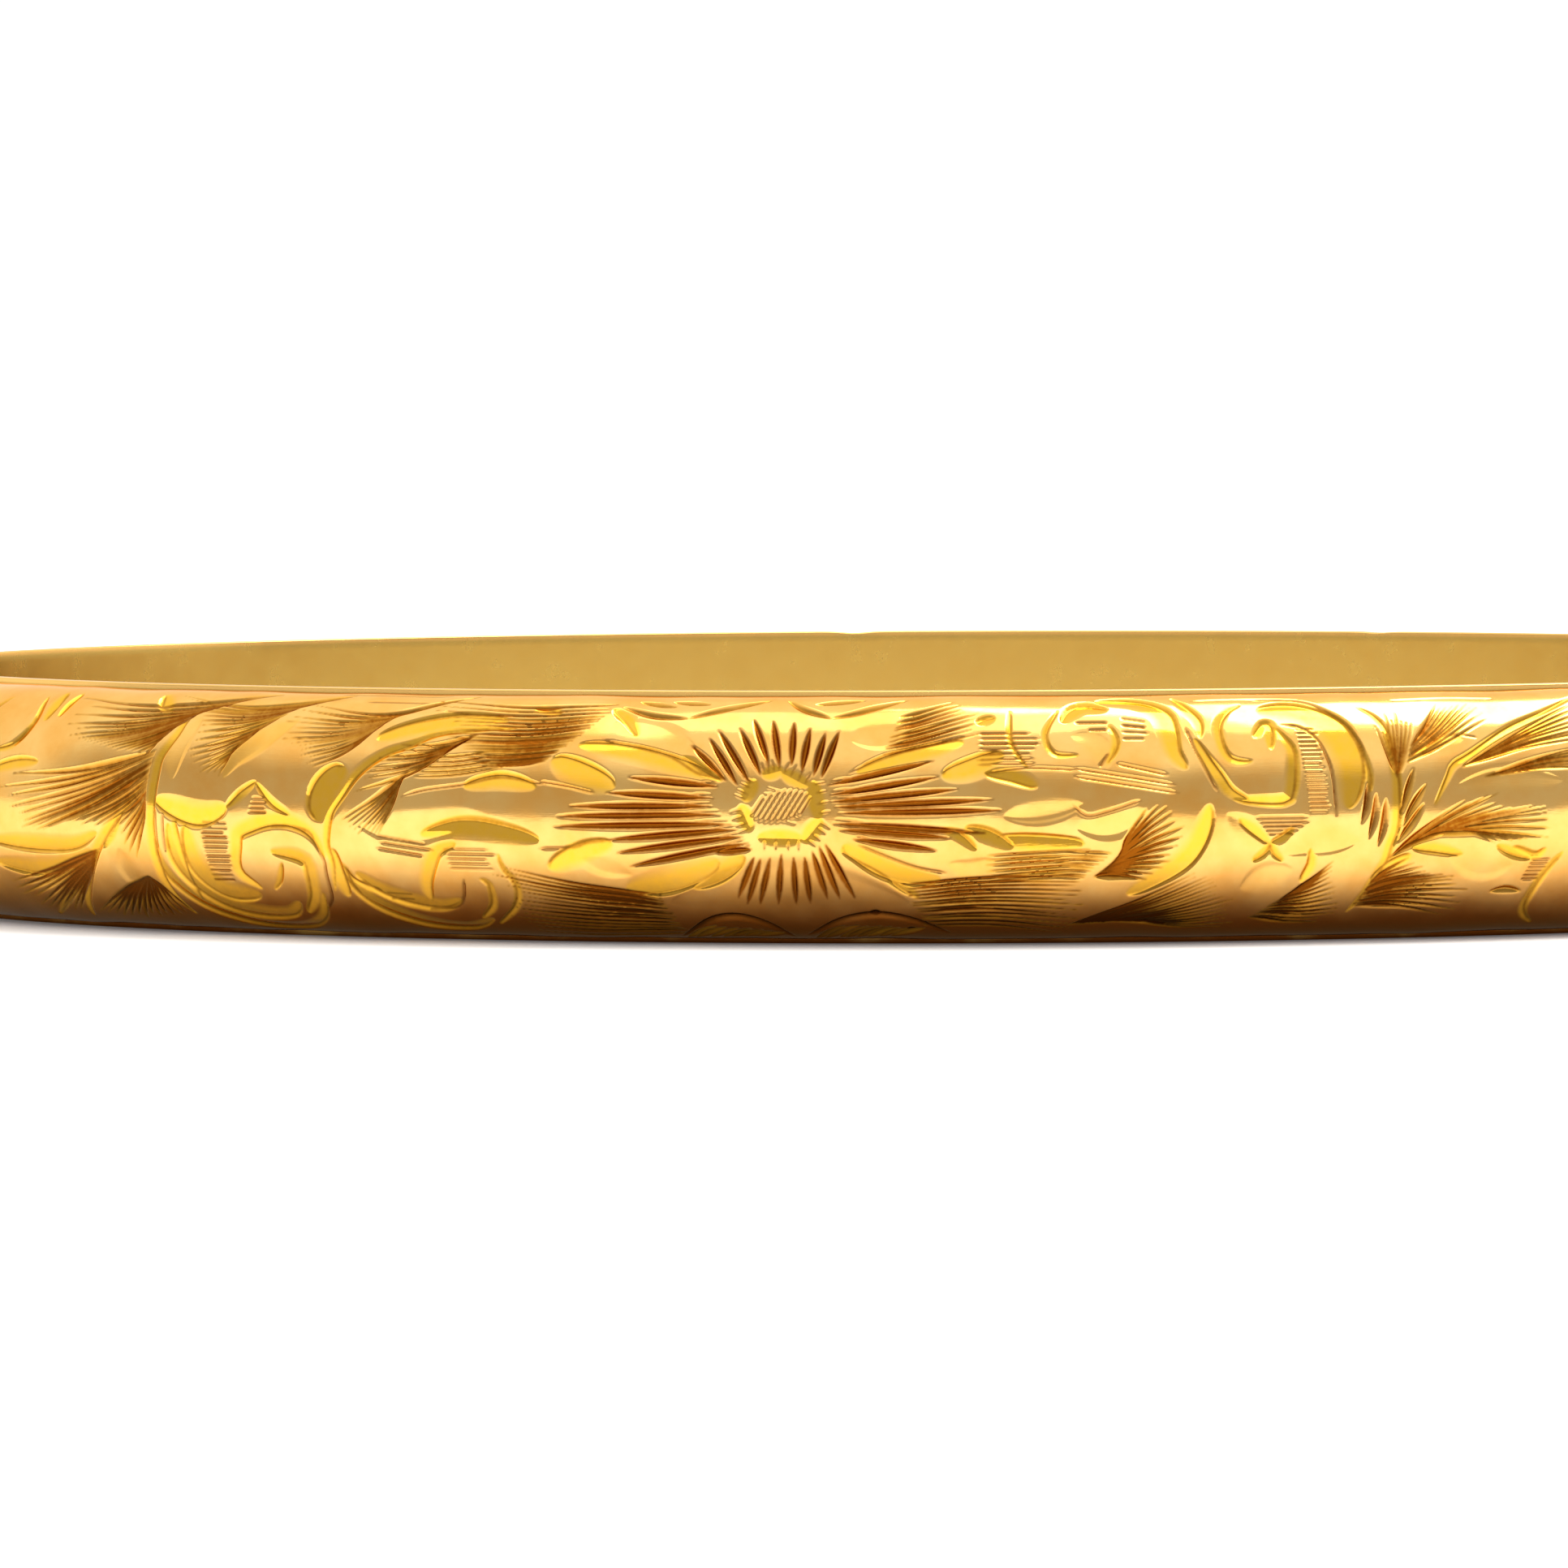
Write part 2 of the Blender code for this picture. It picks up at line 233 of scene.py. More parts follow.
def smooth(points, step=SAMPLE_STEP):
    """A smooth curve through (s, z) points, given as points in (s, w)."""
    knots = np.array([(s, float(w_at_height(z))) for s, z in points])
    if len(knots) == 2:
        count = max(3, int(np.hypot(*(knots[1] - knots[0])) / (4 * step)))
        share = np.linspace(0.0, 1.0, count)[:, None]
        return knots[0] + share * (knots[1] - knots[0])
    padded = np.vstack([2 * knots[0] - knots[1], knots, 2 * knots[-1] - knots[-2]])
    pieces = []
    for before, start, end, after in zip(padded, padded[1:], padded[2:], padded[3:]):
        count = max(2, int(np.hypot(*(end - start)) / step))
        t = np.linspace(0.0, 1.0, count, endpoint=False)[:, None]
        pieces.append(0.5 * (2 * start + (end - before) * t
                             + (2 * before - 5 * start + 4 * end - after) * t ** 2
                             + (3 * start - before - 3 * end + after) * t ** 3))
    return np.vstack(pieces + [knots[-1:]])


def window(grid, low, high):
    """The part of a sorted line of grid positions between low and high."""
    return slice(*np.searchsorted(grid, (low, high)))


def carve_path(path, width, lean, shape, depth, dark, bright, groove=False, soft=False):
    """One stroke along (s, w) points. Lean 0 is a V cut, and 1 or -1 a bright cut that is
    deepest at its left or right edge. Dark paints shade and bright paints a highlight over what the
    stroke covers, and a groove's painted shade is deepest along its bottom. A soft stroke has no
    sharp edge or crease."""
    along = running_length(path[:, 0], path[:, 1])
    reach = width / 2
    lean = math.copysign(min(abs(lean), max(0.0, 1.0 - STEEP_WIDTH / reach)), lean)
    low = path.min(axis=0) - reach
    high = path.max(axis=0) + reach
    cols = window(COLUMN_S, low[0], high[0])
    rows = window(ROW_W, low[1], high[1])
    s, w = COLUMN_S[cols], ROW_W[rows]
    # For each grid point the nearest part of the path: how far off it is, on which side, how far along.
    nearest = np.full((len(w), len(s)), reach)
    place = np.full(nearest.shape, reach)
    run = np.zeros(nearest.shape)
    for start, end, before in zip(path, path[1:], along):
        low = np.minimum(start, end) - reach
        high = np.maximum(start, end) + reach
        near = (window(w, low[1], high[1]), window(s, low[0], high[0]))
        step = end - start
        length = float(np.hypot(*step))
        if length < 1e-6:
            continue
        ds = s[near[1]][None, :] - start[0]
        dw = w[near[0]][:, None] - start[1]
        t = np.clip((ds * step[0] + dw * step[1]) / length ** 2, 0.0, 1.0)
        away = np.hypot(ds - t * step[0], dw - t * step[1])
        side = np.sign(step[0] * dw - step[1] * ds)
        closer = away < nearest[near]
        nearest[near] = np.where(closer, away, nearest[near])
        place[near] = np.where(closer, side * away, place[near])
        run[near] = np.where(closer, before + t * length, run[near])
    share = shape(run / along[-1])
    place = place / (reach * share + 1e-4)
    profile = np.minimum((place + 1.0) / (1.001 + lean), (1.0 - place) / (1.001 - lean))
    profile = np.clip(profile, 0.0, 1.0)
    if soft:
        profile = profile * profile * (3.0 - 2.0 * profile)
    # Painted highlight and painted shade rise from the stroke's edges, and a groove's painted shade
    # gathers at its bottom.
    tone = np.clip(TONE_RISE * profile, 0.0, 1.0)
    bottom = tone
    if groove:
        low_down = np.clip(GROOVE_RISE * (profile - GROOVE_START), 0.0, 1.0)
        bottom = GROOVE_WALL * tone + (1.0 - GROOVE_WALL) * low_down
    fields = ((CUT, depth * share ** 0.8 * profile), (PAINTED_SHADE, dark * bottom), (PAINTED_HIGHLIGHT, bright * tone))
    for field, value in fields:
        patch = field[rows, cols]
        np.maximum(patch, value, out=patch)


def carve(points, width, lean=0.0, shape=lens, dark=0.75, bright=0.0):
    """A stroke through (s, z) points, deeper the wider it is, with dark as its painted shade. One with a
    painted highlight is a groove, highlighted on its walls and painted in shade at its bottom."""
    depth = min(DEEPEST, CUT_SHARE * width)
    carve_path(smooth(points), width, lean, shape, depth, dark, bright, bright > 0.0)


def facet(points, width, lean, shape=ribbon, depth=FACET_DEPTH, bright=1.0):
    """A wide bright cut with a painted highlight, and a fine line of painted shade along its deep edge."""
    path = smooth(points)
    carve_path(path, width, lean, shape, depth, 0.0, bright)
    if lean == 0.0:
        return
    run = np.gradient(path, axis=0)
    across = np.stack([-run[:, 1], run[:, 0]], axis=1) / np.hypot(run[:, 0], run[:, 1])[:, None]
    along = running_length(path[:, 0], path[:, 1])
    reach = 0.5 * width * abs(lean) * shape(along / along[-1])
    edge = path + math.copysign(1.0, lean) * reach[:, None] * across
    carve_path(edge, EDGE_WIDTH, 0.0, line, EDGE_DEPTH, FACET_EDGE_SHADE, 0.0)


def swells(rows):
    """Broad shallow cuts that give the ground its pillowed look, as (width, lean, tone, points).
    A tone above 0 paints a highlight over the swell, and one below 0 paints shade."""
    for width, lean, tone, points in rows:
        dark, bright = max(0.0, -tone), max(0.0, tone)
        carve_path(smooth(points), width, lean, lens, SWELL_DEPTH, dark, bright, False, True)


def strokes(width, rows, dark=0.9, bright=0.7):
    """Single leaf cuts."""
    for points in rows:
        carve(points, width, 0.0, lens, dark, bright)


def along_line(points, share):
    """The point at a share of the way along a line of points."""
    points = np.asarray(points, float).reshape(-1, 2)
    if len(points) == 1:
        return points[0]
    length = running_length(points[:, 0], points[:, 1])
    want = share * length[-1]
    return np.array([np.interp(want, length, points[:, 0]), np.interp(want, length, points[:, 1])])


def spray(roots, tips, count, width, shape=leaf, bend=0.0, dark=1.15, slack=0.05):
    """A fan of strokes from points along one line to points along another. Strokes whose tips
    stand far apart are wider, so that they meet nearer their roots."""
    spread = np.asarray(tips, float).reshape(-1, 2)
    gap = running_length(spread[:, 0], spread[:, 1])[-1] / max(count - 1, 1)
    wide = min(max(width, FILL * gap), WIDEST)
    for index in range(count):
        share = index / max(count - 1, 1)
        scatter = ROOT_SCATTER * HAND.uniform(-1.0, 1.0) / count
        root = along_line(roots, min(max(share + scatter, 0.0), 1.0))
        tip = along_line(tips, share)
        run = tip - root
        tip = root + run * HAND.uniform(1.0 - 2.0 * slack, 1.0 + slack)
        middle = (root + tip) / 2 + bend * np.array([-run[1], run[0]])
        own_width = wide * HAND.uniform(0.85, 1.12)
        lean = LEAN_SCATTER * HAND.uniform(-1.0, 1.0)
        own_dark = dark * HAND.uniform(0.75, 1.1)
        carve([root, middle, tip], own_width, lean, shape, own_dark, HAND.uniform(0.45, 0.95))


def hatch(starts, ends, count, width=HATCH_WIDTH, dark=0.95):
    """Short cuts side by side, like the rungs of a ladder."""
    for index in range(count):
        share = index / max(count - 1, 1)
        start = along_line(starts, share)
        end = along_line(ends, share)
        end = start + (end - start) * HAND.uniform(0.86, 1.06)
        carve([start, end], width * HAND.uniform(0.85, 1.2), 0.0, line, dark * HAND.uniform(0.7, 1.1))


def facets(rows):
    """Bright cuts, each given as (width, lean, points)."""
    for width, lean, points in rows:
        facet(points, FACET_SPREAD * width, lean, ribbon, FACET_DEPTH * min(1.0, 0.5 + width))


def lines(width, rows, dark=0.8):
    """Single even cuts."""
    for points in rows:
        carve(points, width, 0.0, line, dark)


def softened(field):
    """Rounds a field over one step of the grid, as a burnished edge is rounded."""
    for axis in (0, 1):
        wide = np.concatenate([np.take(field, [0], axis), field, np.take(field, [-1], axis)], axis)
        count = field.shape[axis]
        before, after = (np.take(wide, np.arange(first, first + count), axis) for first in (0, 2))
        field = 0.5 * field + 0.25 * (before + after)
    return field


def flower():
    """The middle of the front: a cross-hatched seed disc and rays cut outwards all round it."""
    for s, z, radius, width in ((-0.24, 4.40, 0.27, 0.46), (0.34, 4.24, 0.40, 0.48),
                                (-0.80, 3.95, 0.32, 0.50), (-0.90, 3.26, 0.36, 0.52),
                                (-0.02, 2.76, 0.58, 0.54), (0.88, 3.72, 0.50, 0.54),
                                (0.80, 2.95, 0.38, 0.52)):
        turn = math.atan2(z - FLOWER_Z, s)
        across = (-math.sin(turn) * radius, math.cos(turn) * radius)
        facet([(s - across[0], z - across[1]), (s + across[0], z + across[1])], width, 0.0, ribbon,
              PETAL_DEPTH)
        for share in (-0.7, -0.2, 0.35, 0.8):
            root = (s + share * across[0], z + share * across[1])
            tip = (root[0] + NOTCH_LENGTH * math.cos(turn), root[1] + NOTCH_LENGTH * math.sin(turn))
            carve([root, tip], FINE_WIDTH, 0.0, lens, 0.7)
    for step in range(9):
        shift = -0.60 + 0.15 * step
        half = 0.46 * math.sqrt(max(0.08, 1.0 - (shift / 0.74) ** 2))
        carve([(shift - 0.62 * half, FLOWER_Z - half), (shift + 0.62 * half, FLOWER_Z + half)], 0.125,
              0.3, line, 0.55)
    for step in range(6):
        shift = -0.35 + 0.14 * step
        half = 0.56 * math.sqrt(max(0.08, 1.0 - (shift / 0.5) ** 2))
        carve([(-half, FLOWER_Z + shift + 0.12), (half, FLOWER_Z + shift - 0.12)], 0.06, 0.0, line, 0.45)
    top = [((-1.40, 4.17), (-2.42, 5.10)), ((-1.10, 4.05), (-1.97, 5.27)), ((-0.80, 4.12), (-1.75, 5.45)),
           ((-0.53, 4.32), (-1.20, 5.50)), ((-0.33, 4.55), (-0.88, 5.73)), ((-0.06, 4.50), (-0.36, 5.70)),
           ((0.24, 4.55), (0.20, 5.65)), ((0.50, 4.40), (0.64, 5.50)), ((0.80, 4.30), (1.05, 5.40)),
           ((1.00, 4.25), (1.40, 5.43))]
    right = [((1.15, 4.08), (3.88, 4.70)), ((1.18, 3.83), (4.00, 4.30)), ((1.20, 3.66), (4.50, 3.99)),
             ((1.30, 3.53), (5.35, 3.72)), ((1.42, 3.38), (5.60, 3.45)), ((1.30, 3.13), (5.20, 2.87)),
             ((1.45, 2.97), (4.30, 2.75)), ((1.80, 2.73), (3.95, 2.43))]
    left = [((-1.57, 4.04), (-4.00, 4.27)), ((-1.70, 3.75), (-4.56, 3.88)),
            ((-1.70, 3.55), (-5.55, 3.53)), ((-1.50, 3.34), (-5.85, 3.27)),
            ((-1.25, 3.10), (-5.95, 3.01)), ((-1.06, 2.97), (-4.57, 2.67)),
            ((-0.92, 2.80), (-4.30, 2.35)), ((-0.83, 2.63), (-3.97, 2.00)),
            ((-0.75, 2.47), (-1.70, 2.37))]
    bottom = [((-0.70, 2.28), (-1.21, 1.20)), ((-0.53, 2.25), (-0.99, 1.04)),
              ((-0.29, 2.28), (-0.66, 1.04)), ((0.00, 2.37), (-0.18, 1.05)), ((0.30, 2.30), (0.28, 1.05)),
              ((0.58, 2.30), (0.65, 1.06)), ((0.78, 2.43), (1.10, 1.18)), ((0.95, 2.57), (1.42, 1.17)),
              ((1.10, 2.63), (1.82, 1.17))]
    for root, tip in top + bottom:
        carve([root, tip], RAY_WIDTH, 0.0, lens, RAY_SHADE)
    for root, tip in right + left:
        carve([root, tip], SIDE_RAY_WIDTH, 0.0, lens, RAY_SHADE)
        start = (root[0] + 0.02 * (tip[0] - root[0]), root[1] + 0.10)
        carve([start, (root[0] + 0.22 * (tip[0] - root[0]), root[1] + 0.22 * (tip[1] - root[1]) + 0.08)],
              FINE_WIDTH)


def petals():
    """The leaves, petals and hatching that stand round the flower."""
    swells([
        (1.3, 0.5, 0.10, [(-4.6, 5.6), (-3.2, 5.2), (-2.2, 4.9)]),
        (1.2, -0.5, 0.15, [(1.7, 5.2), (2.6, 5.4), (3.4, 5.6)]),
        (0.9, -0.5, 0.15, [(5.6, 3.3), (6.6, 3.5), (7.6, 3.6)]),
        (1.9, 0.5, -0.30, [(-3.0, 1.1), (0.0, 1.5), (3.2, 1.1)]),
        (0.8, -0.5, 0.15, [(-5.6, 2.9), (-4.9, 2.2), (-3.9, 1.8)]),
        (0.8, 0.5, 0.15, [(4.2, 2.1), (4.8, 1.9), (5.4, 2.2)]),
    ])
    facets([
        (0.42, 0.8, [(-5.4, 5.05), (-4.0, 4.88), (-2.8, 4.6), (-1.7, 4.25)]),
        (0.25, -0.4, [(-2.6, 4.8), (-1.5, 4.2)]),
        (0.42, 0.8, [(1.9, 4.4), (2.9, 4.72), (3.9, 4.97), (4.6, 5.15)]),
        (0.60, -0.8, [(-4.1, 1.45), (-3.2, 1.6), (-2.35, 1.85), (-1.6, 2.17)]),
        (0.50, -0.7, [(-2.4, 1.5), (-1.6, 1.9), (-0.95, 2.3)]),
        (0.50, 0.7, [(-6.1, 1.95), (-5.4, 2.25), (-4.35, 2.6)]),
        (0.52, -0.85, [(1.55, 2.57), (2.0, 2.35), (2.6, 2.03), (3.2, 1.82), (4.0, 1.7)]),
        (0.34, -0.6, [(1.5, 2.48), (2.5, 2.0), (3.1, 1.5), (3.45, 1.25)]),
        (0.62, 0.75, [(-6.05, 4.7), (-5.2, 4.3), (-4.3, 4.0)]),
        (0.50, 0.75, [(4.05, 4.3), (4.8, 4.5), (5.6, 4.85)]),
        (0.35, -0.6, [(5.1, 4.4), (5.8, 4.32), (6.45, 4.05)]),
        (0.26, 0.3, [(4.05, 2.98), (4.5, 2.8), (4.9, 2.45)]),
        (0.36, 0.6, [(4.6, 3.0), (5.2, 2.8), (5.8, 2.5)]),
        (0.42, 0.8, [(5.4, 2.73), (6.0, 2.63), (6.85, 2.57), (7.6, 2.6)]),
        (0.50, 0.6, [(-9.6, 2.75), (-8.4, 2.95), (-7.1, 2.8), (-6.3, 2.65)]),
        (0.40, 0.6, [(-8.4, 4.0), (-7.4, 4.15), (-6.4, 4.0)]),
        (0.34, -0.5, [(-4.7, 5.95), (-4.2, 5.7), (-3.85, 5.3)]),
        (0.30, 0.4, [(-6.9, 5.95), (-6.1, 5.85)]),
        (0.14, 0.5, [(5.75, 5.9), (5.75, 5.2), (5.95, 4.8), (6.2, 4.5)]),
        (0.30, 0.5, [(4.9, 5.6), (5.4, 5.75)]),
    ])
    lines(0.10, [
        [(-4.85, 5.22), (-3.65, 5.0), (-2.9, 4.8), (-2.2, 4.4), (-1.55, 4.2)],
        [(1.65, 4.35), (2.35, 4.7), (3.25, 5.0), (4.15, 5.22), (4.8, 5.3)],
        [(-6.35, 2.45), (-5.4, 2.48), (-5.05, 2.6), (-4.35, 2.7)],
        [(-6.35, 4.15), (-5.5, 4.02), (-4.8, 3.87)],
        [(5.1, 4.38), (6.2, 4.5), (7.5, 4.45)],
        [(1.9, 2.6), (2.6, 2.3), (3.4, 2.0), (4.2, 1.85)],
    ])
    # The zigzag of leaf cuts along the upper edge, and the two scallops along the lower one.
    strokes(0.26, [
        [(-2.6, 5.72), (-1.75, 5.93), (-0.5, 6.15)], [(-0.1, 6.15), (0.4, 5.95), (1.15, 5.72)],
        [(1.15, 5.72), (1.9, 5.88), (3.1, 6.15)], [(-4.5, 6.0), (-3.6, 5.8), (-2.6, 5.72)],
        [(0.65, 6.05), (2.0, 6.15)], [(-4.1, 6.12), (-3.0, 6.0)], [(-3.2, 6.12), (-2.1, 6.05)],
    ])
    strokes(0.30, [
        [(-3.0, 0.2), (-2.1, 0.6), (-1.3, 0.72), (-0.5, 0.5), (0.1, 0.2)],
        [(0.4, 0.25), (1.3, 0.6), (2.3, 0.78), (3.3, 0.62), (4.2, 0.3)],
    ], 1.0, 0.05)
    spray([(-2.9, 0.15), (-1.0, 0.2)], [(-1.9, 0.5), (-0.1, 0.3)], 7, 0.09, lens, 0.0, 0.8)
    spray([(0.6, 0.15), (2.6, 0.2)], [(1.5, 0.5), (3.6, 0.45)], 8, 0.09, lens, 0.0, 0.8)
    # Two small pits near the lower edge, painted nearly black as shade.
    for s, z, size in ((2.3, 0.82, 0.28), (3.2, 0.40, 0.22)):
        carve([(s - size / 2, z), (s + size / 2, z)], size, 0.0, ribbon, PIT_SHADE)
    spray([(-4.6, 6.05), (-5.3, 5.35), (-6.2, 4.65)], [(-9.8, 6.1), (-9.3, 5.3), (-8.1, 4.5)], 19, 0.14,
          leaf, 0.02, 1.5)
    spray([(2.5, 4.85), (2.7, 5.3), (2.9, 5.75)], [(5.0, 5.35), (5.1, 5.75), (4.4, 6.12)], 9, 0.16, leaf,
          0.0, 1.4)
    hatch([(4.9, 5.35), (4.9, 4.6)], [(6.5, 5.35), (6.5, 4.6)], 7)
    spray([(-3.2, 1.25), (-2.7, 0.3)], [(-7.6, 2.0), (-7.3, 0.3)], 15, 0.13, leaf, 0.02, 1.9)
    spray([(5.05, 2.3), (5.1, 1.65)], [(7.7, 2.45), (7.7, 1.8)], 6, 0.13, lens)
    spray([(3.0, 1.55), (3.5, 0.5)], [(7.8, 1.75), (7.5, 0.3)], 13, 0.12, leaf, 0.02, 1.9)


def left_scrolls():
    """From the flower to the left stem: leaf fans, two scrolls and their ribbons."""
    swells([
        (1.0, 0.6, 0.35, [(-13.7, 5.6), (-14.6, 5.2), (-15.3, 4.7), (-15.6, 4.1)]),
        (1.2, -0.5, 0.10, [(-11.4, 3.0), (-10.2, 2.9), (-8.8, 3.1), (-7.6, 3.2)]),
    ])
    facets([
        (0.38, -0.6, [(-17.9, 2.6), (-17.7, 1.7), (-17.1, 1.0), (-16.2, 0.55), (-15.0, 0.28),
                      (-13.9, 0.3), (-13.1, 0.6), (-12.75, 1.2)]),
        (0.56, -0.6, [(-17.35, 2.9), (-17.2, 2.0), (-16.7, 1.3), (-15.9, 0.8), (-15.0, 0.62),
                      (-14.1, 0.65), (-13.6, 0.95)]),
        (0.44, -0.6, [(-12.0, 2.0), (-11.6, 1.3), (-10.9, 0.8), (-9.8, 0.45), (-8.8, 0.38), (-8.0, 0.6)]),
        (0.44, -0.5, [(-11.6, 1.75), (-10.9, 1.3), (-10.1, 1.05), (-9.3, 0.95), (-8.7, 1.1)]),
        (0.55, 0.75, [(-11.1, 5.15), (-10.2, 5.4), (-9.0, 5.6), (-7.5, 5.65)]),
        (0.85, -0.8, [(-11.85, 4.45), (-12.3, 3.8), (-12.6, 3.05)]),
        (0.24, 0.3, [(-7.1, 5.5), (-9.2, 5.35), (-10.05, 5.05), (-10.8, 4.77), (-11.45, 4.3),
                     (-11.9, 3.7), (-12.2, 3.27), (-12.3, 2.87), (-12.35, 2.4), (-12.25, 1.97),
                     (-12.35, 1.25)]),
        (0.34, 0.6, [(-8.6, 2.55), (-9.1, 2.4), (-9.35, 2.1), (-9.6, 1.5), (-9.6, 1.0)]),
        (0.20, -0.5, [(-8.05, 1.65), (-7.8, 1.5), (-7.85, 0.95), (-8.3, 0.6)]),
        (0.18, -0.5, [(-7.45, 2.3), (-7.35, 1.95), (-7.05, 1.5), (-7.2, 0.95), (-7.9, 0.45)]),
        (0.22, 0.7, [(-11.95, 1.9), (-11.8, 1.55), (-11.4, 1.33), (-10.95, 1.22)]),
        (0.35, 0.6, [(-12.2, 2.35), (-12.15, 1.7), (-12.0, 1.1)]),
        (0.22, -0.4, [(-11.9, 1.9), (-11.6, 1.1)]),
        (0.62, -0.7, [(-16.75, 2.9), (-16.7, 2.35), (-16.55, 1.8), (-16.2, 1.4), (-15.7, 1.15),
                      (-14.75, 1.1)]),
        (0.36, -0.6, [(-14.65, 1.25), (-15.2, 1.58), (-15.3, 1.9), (-15.2, 2.35), (-15.1, 2.7),
                      (-14.65, 2.9), (-14.1, 3.05), (-13.5, 3.05), (-12.95, 2.85), (-12.6, 2.5),
                      (-12.45, 2.1)]),
        (0.36, -0.6, [(-14.1, 2.25), (-13.55, 2.2), (-13.15, 2.1), (-12.95, 1.85), (-13.05, 1.1),
                      (-13.5, 0.65)]),
        (0.16, 0.4, [(-13.8, 1.95), (-14.0, 1.5), (-14.25, 1.25)]),
        (0.25, 0.6, [(-15.4, 3.35), (-14.5, 4.02)]),
        (0.20, -0.6, [(-14.5, 4.0), (-13.95, 3.5), (-13.4, 3.2)]),
        (0.55, -0.75, [(-17.8, 3.5), (-16.4, 3.15), (-15.4, 3.35)]),
        (0.25, 0.5, [(-17.18, 3.1), (-17.1, 2.35), (-17.05, 1.78), (-17.0, 1.27), (-16.85, 0.8)]),
    ])
    lines(0.10, [
        [(-14.1, 2.85), (-13.5, 2.9), (-12.9, 2.78), (-12.75, 2.55), (-12.5, 2.05), (-12.5, 1.7),
         (-12.55, 1.05), (-12.95, 0.65)],
        [(-10.2, 3.7), (-9.5, 3.9), (-8.4, 4.05), (-7.35, 4.25), (-6.1, 4.05)],
        [(-8.5, 1.65), (-8.65, 1.1), (-9.0, 0.85), (-9.8, 0.8)],
        [(-10.9, 2.72), (-9.4, 2.5)], [(-10.8, 2.55), (-9.2, 2.35)], [(-10.9, 2.4), (-9.5, 2.2)],
        [(-17.8, 3.3), (-17.8, 2.15)], [(-17.55, 3.2), (-17.55, 2.1)],
    ])
    hatch([(-16.3, 2.95), (-16.2, 1.45)], [(-15.35, 2.95), (-15.45, 1.45)], 13)
    hatch([(-14.6, 3.6), (-14.7, 3.25)], [(-14.15, 3.6), (-14.1, 3.25)], 4)
    hatch([(-9.0, 2.4), (-8.9, 1.9)], [(-7.5, 2.4), (-7.6, 1.9)], 5, 0.07)
    hatch([(-10.9, 1.2), (-10.8, 1.05)], [(-10.0, 1.2), (-10.0, 1.05)], 2, 0.06)
    hatch([(-13.0, 6.2), (-12.0, 6.05)], [(-9.6, 6.2), (-9.8, 6.05)], 2, 0.06)
    spray([(-11.3, 5.3), (-10.6, 5.85), (-9.6, 6.1), (-8.6, 6.2)],
          [(-12.8, 4.45), (-13.4, 4.72), (-13.8, 4.97), (-14.15, 5.1), (-14.35, 5.3), (-14.2, 5.6),
           (-13.6, 5.95)], 16, 0.14, leaf, 0.06)
    spray([(-8.2, 5.3), (-8.9, 4.9)], [(-10.6, 5.0), (-11.5, 4.2), (-11.45, 3.85)], 8, 0.14, leaf, 0.05)
    spray([(-9.9, 4.5), (-10.2, 4.1)], [(-11.83, 3.13), (-11.48, 2.85), (-11.1, 2.5), (-10.9, 2.55)], 9,
          0.15, leaf, 0.04)
    spray([(-7.6, 4.9), (-7.3, 4.5)], [(-10.0, 4.7), (-10.1, 4.2)], 5, 0.10, lens, 0.02)


